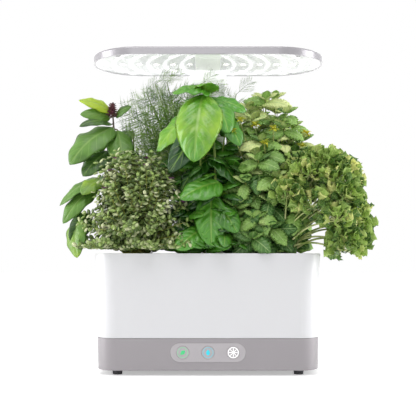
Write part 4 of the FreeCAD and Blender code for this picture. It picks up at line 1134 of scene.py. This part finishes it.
def make_signs():
    """A green leaf for feed, a blue drop for water and a white sun for the lamp, each in its ring."""
    white = glow("lamp sign white", (252, 252, 252), 0.6)
    stalk = spoke_outline(LEAF_LEAN + math.pi, 3.0, 4.6, 0.25)
    rays = [spoke_outline(math.pi * step / 4, 2.1, 5.0, 0.32) for step in range(8)]
    signs = (
        ("feed_ring", "feed_button", glow("feed ring green", (118, 204, 150), 0.3), ring_outlines(5.6, 6.2)),
        (
            "feed_leaf", "feed_button", glow("feed sign green", (60, 196, 122), 0.35),
            [lens_shape(7.2, 4.6, LEAF_LEAN), stalk],
        ),
        ("water_ring", "water_button", glow("water ring blue", (96, 190, 206), 0.3), ring_outlines(5.6, 6.2)),
        ("water_drop", "water_button", glow("water sign blue", (22, 190, 208), 0.5), [drop_shape(6.4, 4.4)]),
        ("lamp_ring", "light_button", white, ring_outlines(5.5, 6.3)),
        ("lamp_sun", "light_button", white, [*rays, *ring_outlines(0.6, 1.7, 16)]),
    )
    for name, button, finish, outlines in signs:
        low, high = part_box(button)
        middle = Vector(((low.x + high.x) / 2, low.y, (low.z + high.z) / 2))
        flat_sign(name, outlines, middle, finish, KEYS[button])


make_signs()
grow_thyme()
grow_genovese()
grow_parsley()
grow_thai()
grow_dill()
grow_mint()


# The room, the lights and the camera


PHOTO_WIDTH = 416
FOCAL_PIXELS = 808
HORIZON_PIXEL = 258
SENSOR_MM = 36.0
CAMERA_DISTANCE = 1.011
CAMERA_HEIGHT = 0.137
WORLD_LIGHT = 0.27
FLOOR_REACH = 6.0


def make_camera():
    """A level camera before the middle of the garden, raised by shift as the photo shows it."""
    camera = bpy.data.cameras.new("camera")
    camera.sensor_width = SENSOR_MM
    camera.lens = FOCAL_PIXELS / PHOTO_WIDTH * SENSOR_MM
    camera.shift_y = (HORIZON_PIXEL - PHOTO_WIDTH / 2) / PHOTO_WIDTH
    stand = new_object("camera", camera)
    stand.location = (0, -CAMERA_DISTANCE, CAMERA_HEIGHT)
    stand.rotation_euler = (math.radians(90), 0, 0)
    bpy.context.scene.camera = stand


def soft_light(name, place, target, size, power):
    """A soft box that faces its target, its size in metres and its power in watts."""
    light = bpy.data.lights.new(name, "AREA")
    light.shape = "RECTANGLE"
    light.size, light.size_y = size
    light.energy = power
    stand = new_object(name, light)
    stand.location = place
    stand.rotation_euler = (Vector(target) - Vector(place)).to_track_quat("-Z", "Y").to_euler()


def seen_directly(tree):
    """One for rays from the camera, from mirrors and through glass, and nothing for light on the object."""
    rays = tree.nodes.new("ShaderNodeLightPath")
    seen = math_node(tree, "ADD", rays.outputs["Is Camera Ray"], rays.outputs["Is Glossy Ray"], True)
    return math_node(tree, "ADD", seen, rays.outputs["Is Transmission Ray"], True)


def make_room():
    """A white room: the world and a floor that are white to look at and keep the object's shadow."""
    world = bpy.data.worlds.new("studio")
    bpy.context.scene.world = world
    world.use_nodes = True
    tree = world.node_tree
    background = tree.nodes["Background"]
    strength = remap(tree, seen_directly(tree), 0.0, 1.0, WORLD_LIGHT, 1.0)
    feed(tree, background, {"Strength": strength, "Color": WHITE})
    finish, tree, shader = new_material("floor")
    away = tree.nodes.new("ShaderNodeVectorMath")
    away.operation = "LENGTH"
    feed(tree, away, {0: tree.nodes.new("ShaderNodeTexCoord").outputs["Object"]})
    fade = remap(tree, away.outputs["Value"], 0.25, 1.1, 0.42, 1.0)
    feed(tree, shader, {
        "Base Color": (0.92, 0.92, 0.92, 1.0), "Roughness": 0.8, "Specular IOR Level": 0.1,
        "Emission Color": WHITE,
        "Emission Strength": math_node(tree, "MULTIPLY", seen_directly(tree), fade),
    })
    mesh = bpy.data.meshes.new("floor")
    corners = ((-1, -1), (1, -1), (1, 1), (-1, 1))
    mesh.from_pydata([(x * FLOOR_REACH, y * FLOOR_REACH, 0) for x, y in corners], [], [(0, 1, 2, 3)])
    mesh.materials.append(finish)
    floor = new_object("floor", mesh)


def make_lights():
    """Soft boxes all round, each facing the middle of the garden."""
    target = (0, 0, 0.2)
    for name, place, size, power in (
        ("left box", (-0.95, -0.12, 0.3), (0.5, 0.9), 7),
        ("right box", (0.95, -0.12, 0.3), (0.5, 0.9), 7),
        ("front box", (-0.2, -1.3, 0.55), (0.9, 0.7), 2.6),
        ("top box", (-0.15, -0.5, 1.3), (0.9, 0.7), 6),
        ("back box", (0.0, 1.1, 0.6), (0.9, 0.9), 7),
    ):
        soft_light(name, place, target, size, power)


make_camera()
make_room()
make_lights()
bpy.context.scene.view_settings.view_transform = "Standard"
